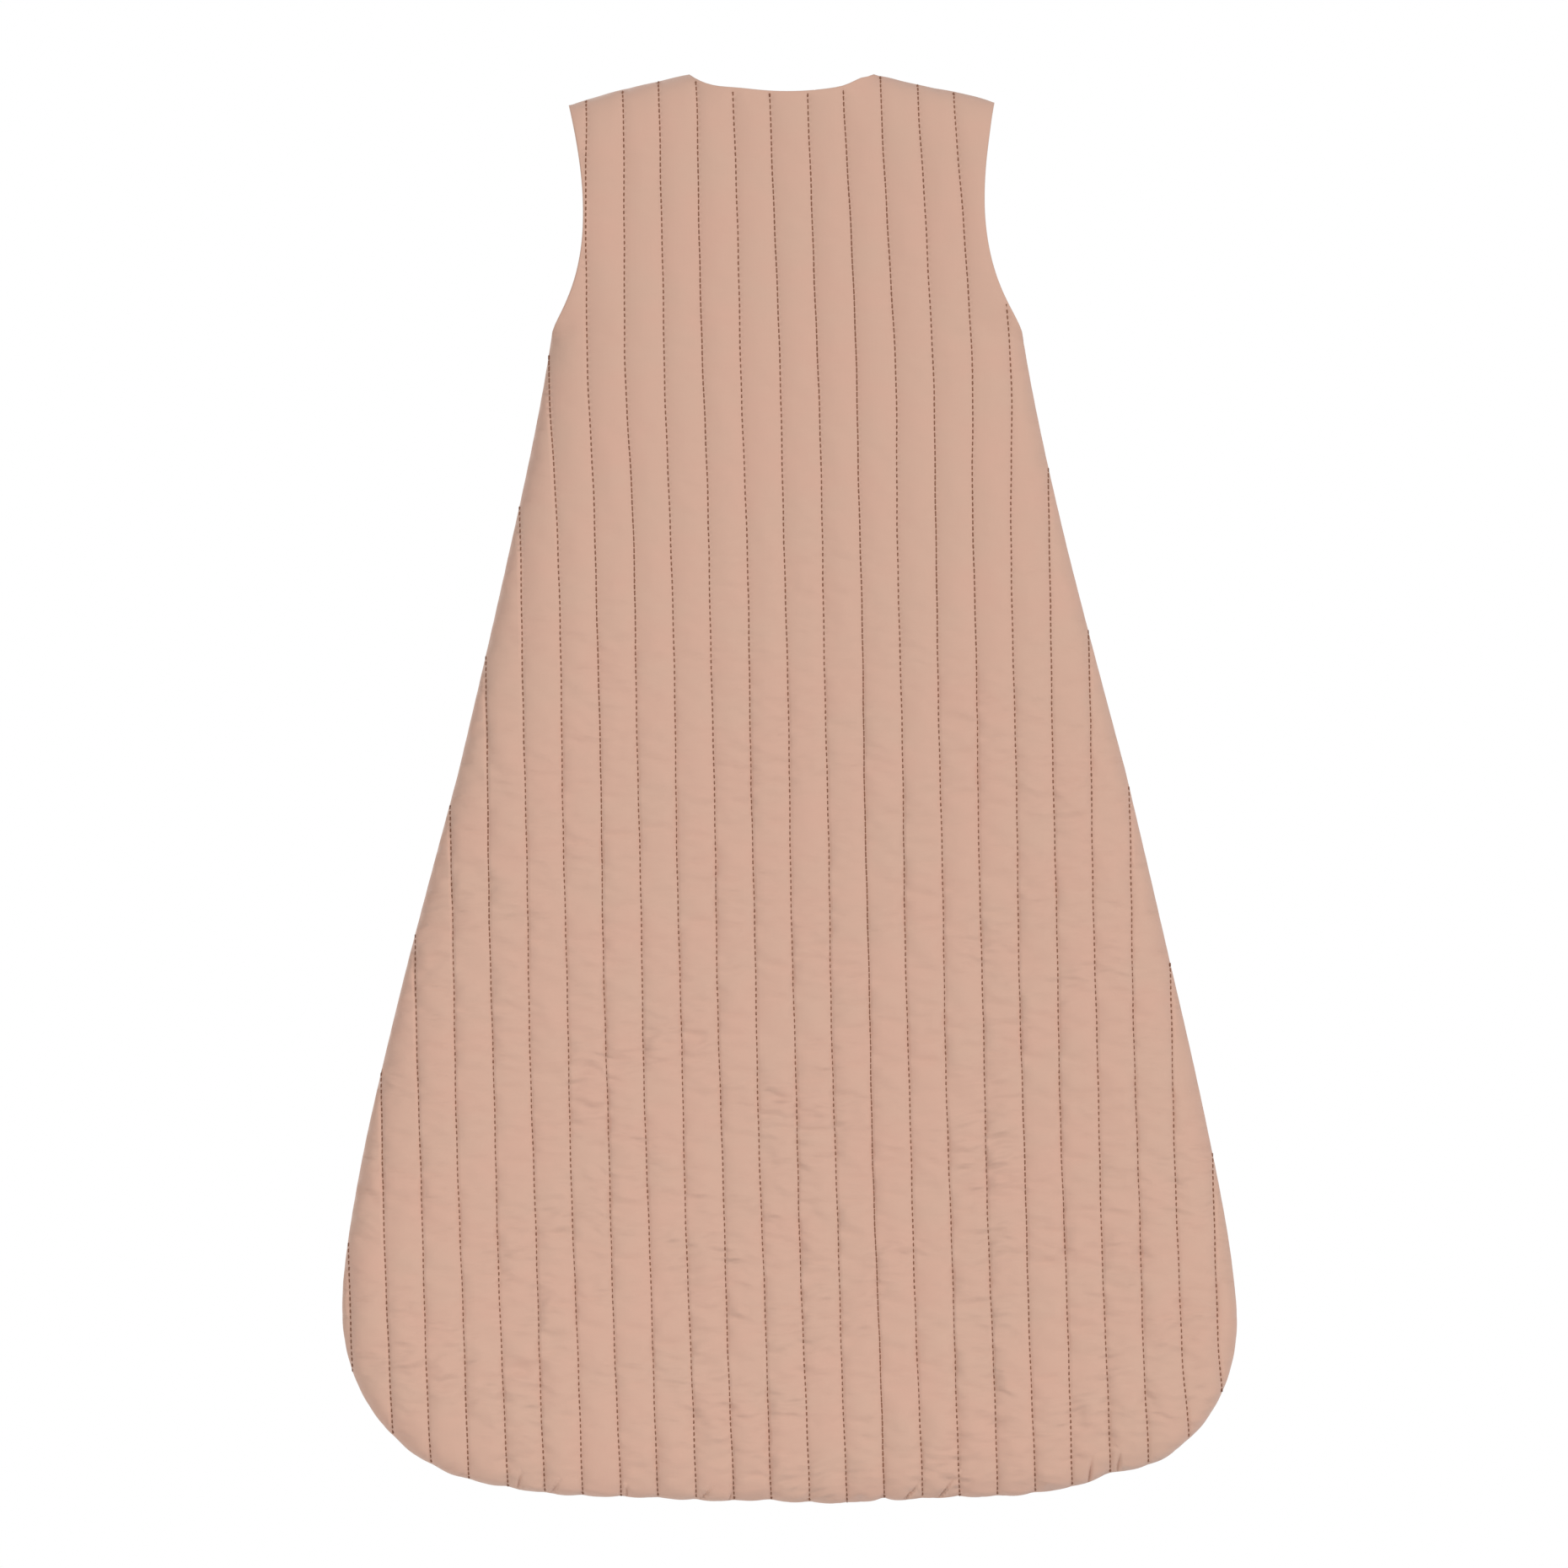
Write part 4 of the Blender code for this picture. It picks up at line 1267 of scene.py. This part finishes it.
class SLEEPBAG_OT_zip_pull_tab(bpy.types.Operator):
    """Make the pull tab that hangs from the slider."""

    bl_idname = "sleepbag.zip_pull_tab"
    bl_label = "Zip pull tab"

    def execute(self, context):
        sizes = context.scene.zip_sizes
        bar = 0.0010
        window = 0.0060
        neck = 0.0028
        half = TAB_HIGH.x
        window_half = sizes.crown_width / 2 + 0.0006
        pivot = TAB_HIGH.z - bar / 2
        shoulder = pivot - bar / 2 - window
        right = bezier((neck, TAB_HIGH.z), (neck, shoulder), (half, shoulder), (half, shoulder - 0.005), 16)
        turns = np.linspace(0.0, -math.pi, 25)
        tip = np.column_stack((half * np.cos(turns), TAB_LOW.z + half + half * np.sin(turns)))
        outline = np.vstack((right, tip, (right * (-1.0, 1.0))[::-1]))[::-1]
        opening = [(x, pivot - bar / 2 - window / 2 + z) for x, z in
                   rounded_outline(window_half, -window / 2, window / 2, 0.0004)]
        back, front = TAB_LOW.y, TAB_HIGH.y
        hollow = 0.00025
        grip = rounded_outline(half - 0.0012, TAB_LOW.z + 0.0012, shoulder - 0.0045, 0.0026)
        parts = [
            plate([outline, opening], back, front, sizes.edge),
            plate([grip], back - hollow, front + hollow, hollow),
        ]
        piece = add_metal("zip_pull_tab_plate", parts, zip_enamel(context.scene.bag_colours))
        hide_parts("zip_pull_tab")
        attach(piece, "zip_pull_tab")
        return {"FINISHED"}


class SLEEPBAG_OT_chin_guard(bpy.types.Operator):
    """Make the padded fold of cloth over the zip's top end."""

    bl_idname = "sleepbag.chin_guard"
    bl_label = "Chin guard"

    def execute(self, context):
        quilt = context.scene.quilt_sizes
        colours = context.scene.bag_colours
        columns = np.linspace(GUARD_LOW.x, GUARD_HIGH.x, 27)
        rows = np.linspace(GUARD_LOW.z, GUARD_HIGH.z, 19)
        points = grid(columns, rows)[0]
        inset = np.minimum.reduce((
            points[:, 0] - GUARD_LOW.x, GUARD_HIGH.x - points[:, 0],
            points[:, 1] - GUARD_LOW.z, GUARD_HIGH.z - points[:, 1]))
        sewn = 0.00025 * np.exp(-((inset - 0.0018) / 0.0005) ** 2)
        height = GUARD_HIGH.y - GUARD_LOW.y
        front = GUARD_LOW.y + height * (0.45 + 0.55 * rounding(inset, 0.0012)) - sewn
        piece = add_piece("zip_chin_guard_fold", *slab(columns, rows, GUARD_LOW.y, front), shell_cloth(colours))
        low = np.array((GUARD_LOW.x, GUARD_LOW.z)) + 0.0018
        high = np.array((GUARD_HIGH.x, GUARD_HIGH.z)) - 0.0018
        depth = GUARD_HIGH.y - 0.0002
        corners = [(low[0], low[1]), (high[0], low[1]), (high[0], high[1]), (low[0], high[1]), (low[0], low[1])]
        outward = np.array((0.0, 1.0, 0.0))
        runs = [
            stitches_along(np.array([(x0, depth, z0), (x1, depth, z1)]), outward, 0.0022, 0.6 * quilt.thread)
            for (x0, z0), (x1, z1) in zip(corners, corners[1:])]
        seam = add_piece("zip_chin_guard_stitching", *joined(runs), thread_and_hole_shade(colours))
        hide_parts("zip_chin_guard")
        for item in (piece, seam):
            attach(item, "flap_left")
        return {"FINISHED"}


class SLEEPBAG_OT_stage(bpy.types.Operator):
    """Set up the camera, the floor and the studio light."""

    bl_idname = "sleepbag.stage"
    bl_label = "Studio"

    def execute(self, context):
        scene = context.scene
        settings = scene.studio
        scene.view_settings.view_transform = "Standard"
        self.camera(scene)
        self.lamp("key_lamp", (9.8, -11.5, 6.6), settings.key, 5.2)
        self.lamp("side_lamp", (-3.6, -4.4, -1.0), settings.side, 2.2)
        self.lamp("fill_lamp", (-2.2, 3.8, 0.9), settings.fill, 1.8)
        self.world(scene, settings.ambient)
        self.floor(scene)
        return {"FINISHED"}

    def camera(self, scene):
        """A long lens square to the bag's back."""
        data = bpy.data.cameras.new("camera")
        camera = bpy.data.objects.new("camera", data)
        data.sensor_width = 36.0
        data.lens = 218.7
        camera.location = (-0.0021, -6.0, -0.4471)
        camera.rotation_euler = (math.pi / 2, 0.0, 0.0)
        scene.collection.objects.link(camera)
        scene.camera = camera

    def lamp(self, name, place, power, size):
        """A soft square lamp that faces the bag."""
        data = bpy.data.lights.new(name, "AREA")
        data.energy = power
        data.size = size
        lamp = bpy.data.objects.new(name, data)
        lamp.location = place
        aim = Vector((0.0, 0.0, -0.45)) - Vector(place)
        lamp.rotation_euler = aim.to_track_quat("-Z", "Y").to_euler()
        bpy.context.scene.collection.objects.link(lamp)

    def world(self, scene, ambient):
        """Even light, with white wherever the camera or a reflection looks past the bag."""
        world = bpy.data.worlds.new("studio")
        scene.world = world
        world.use_nodes = True
        tree = world.node_tree
        light = tree.nodes["Background"]
        light.inputs["Color"].default_value = (1.0, 1.0, 1.0, 1.0)
        light.inputs["Strength"].default_value = ambient
        white = tree.nodes.new("ShaderNodeBackground")
        white.inputs["Color"].default_value = (1.0, 1.0, 1.0, 1.0)
        white.inputs["Strength"].default_value = 1.0
        path = tree.nodes.new("ShaderNodeLightPath")
        seen = path.outputs["Is Camera Ray"]
        for other in ("Is Glossy Ray", "Is Transmission Ray"):
            both = tree.nodes.new("ShaderNodeMath")
            both.operation = "MAXIMUM"
            tree.links.new(seen, both.inputs[0])
            tree.links.new(path.outputs[other], both.inputs[1])
            seen = both.outputs[0]
        mix = tree.nodes.new("ShaderNodeMixShader")
        tree.links.new(seen, mix.inputs[0])
        tree.links.new(light.outputs[0], mix.inputs[1])
        tree.links.new(white.outputs[0], mix.inputs[2])
        tree.links.new(mix.outputs[0], tree.nodes["World Output"].inputs["Surface"])

    def floor(self, scene):
        """A pale floor well below the hanging bag."""
        half = 1.6
        height = -1.3
        corners = np.array([(-half, -half, height), (half, -half, height), (half, half, height), (-half, half, height)])
        finish = Finish("studio_floor")
        grain = finish.noise(finish.place(), (3.0, 3.0, 3.0))
        finish.surface(Base_Color=finish.mix(grain, (0.86, 0.86, 0.86), (0.9, 0.9, 0.9)), Roughness=0.9)
        add_piece("floor", corners, [(0, 1, 2, 3)], finish.material)


class SLEEPBAG_PT_panel(bpy.types.Panel):
    """The sleeping bag's tools."""

    bl_idname = "SLEEPBAG_PT_panel"
    bl_label = "Sleeping bag"
    bl_space_type = "VIEW_3D"
    bl_region_type = "UI"
    bl_category = "Sleeping bag"

    def draw(self, context):
        for operator in OPERATORS:
            self.layout.operator(operator.bl_idname)
        for group in ("quilt_sizes", "zip_sizes", "bag_colours", "studio"):
            settings = getattr(context.scene, group)
            for name in settings.__annotations__:
                self.layout.prop(settings, name)


OPERATORS = (
    SLEEPBAG_OT_back, SLEEPBAG_OT_front, SLEEPBAG_OT_zip_tapes, SLEEPBAG_OT_zip_coils, SLEEPBAG_OT_zip_stops,
    SLEEPBAG_OT_zip_slider, SLEEPBAG_OT_zip_pull_tab, SLEEPBAG_OT_chin_guard, SLEEPBAG_OT_stage)
GROUPS = {
    "quilt_sizes": QuiltSizes,
    "zip_sizes": ZipSizes,
    "bag_colours": Colours,
    "studio": StageSettings,
}


def register():
    for kind in (*GROUPS.values(), *OPERATORS, SLEEPBAG_PT_panel):
        bpy.utils.register_class(kind)
    for name, kind in GROUPS.items():
        setattr(bpy.types.Scene, name, PointerProperty(type=kind))


def unregister():
    for name in GROUPS:
        delattr(bpy.types.Scene, name)
    for kind in (SLEEPBAG_PT_panel, *reversed(OPERATORS), *GROUPS.values()):
        bpy.utils.unregister_class(kind)


def main():
    register()
    for operator in OPERATORS:
        family, name = operator.bl_idname.split(".")
        getattr(getattr(bpy.ops, family), name)()


if __name__ == "__main__":
    main()
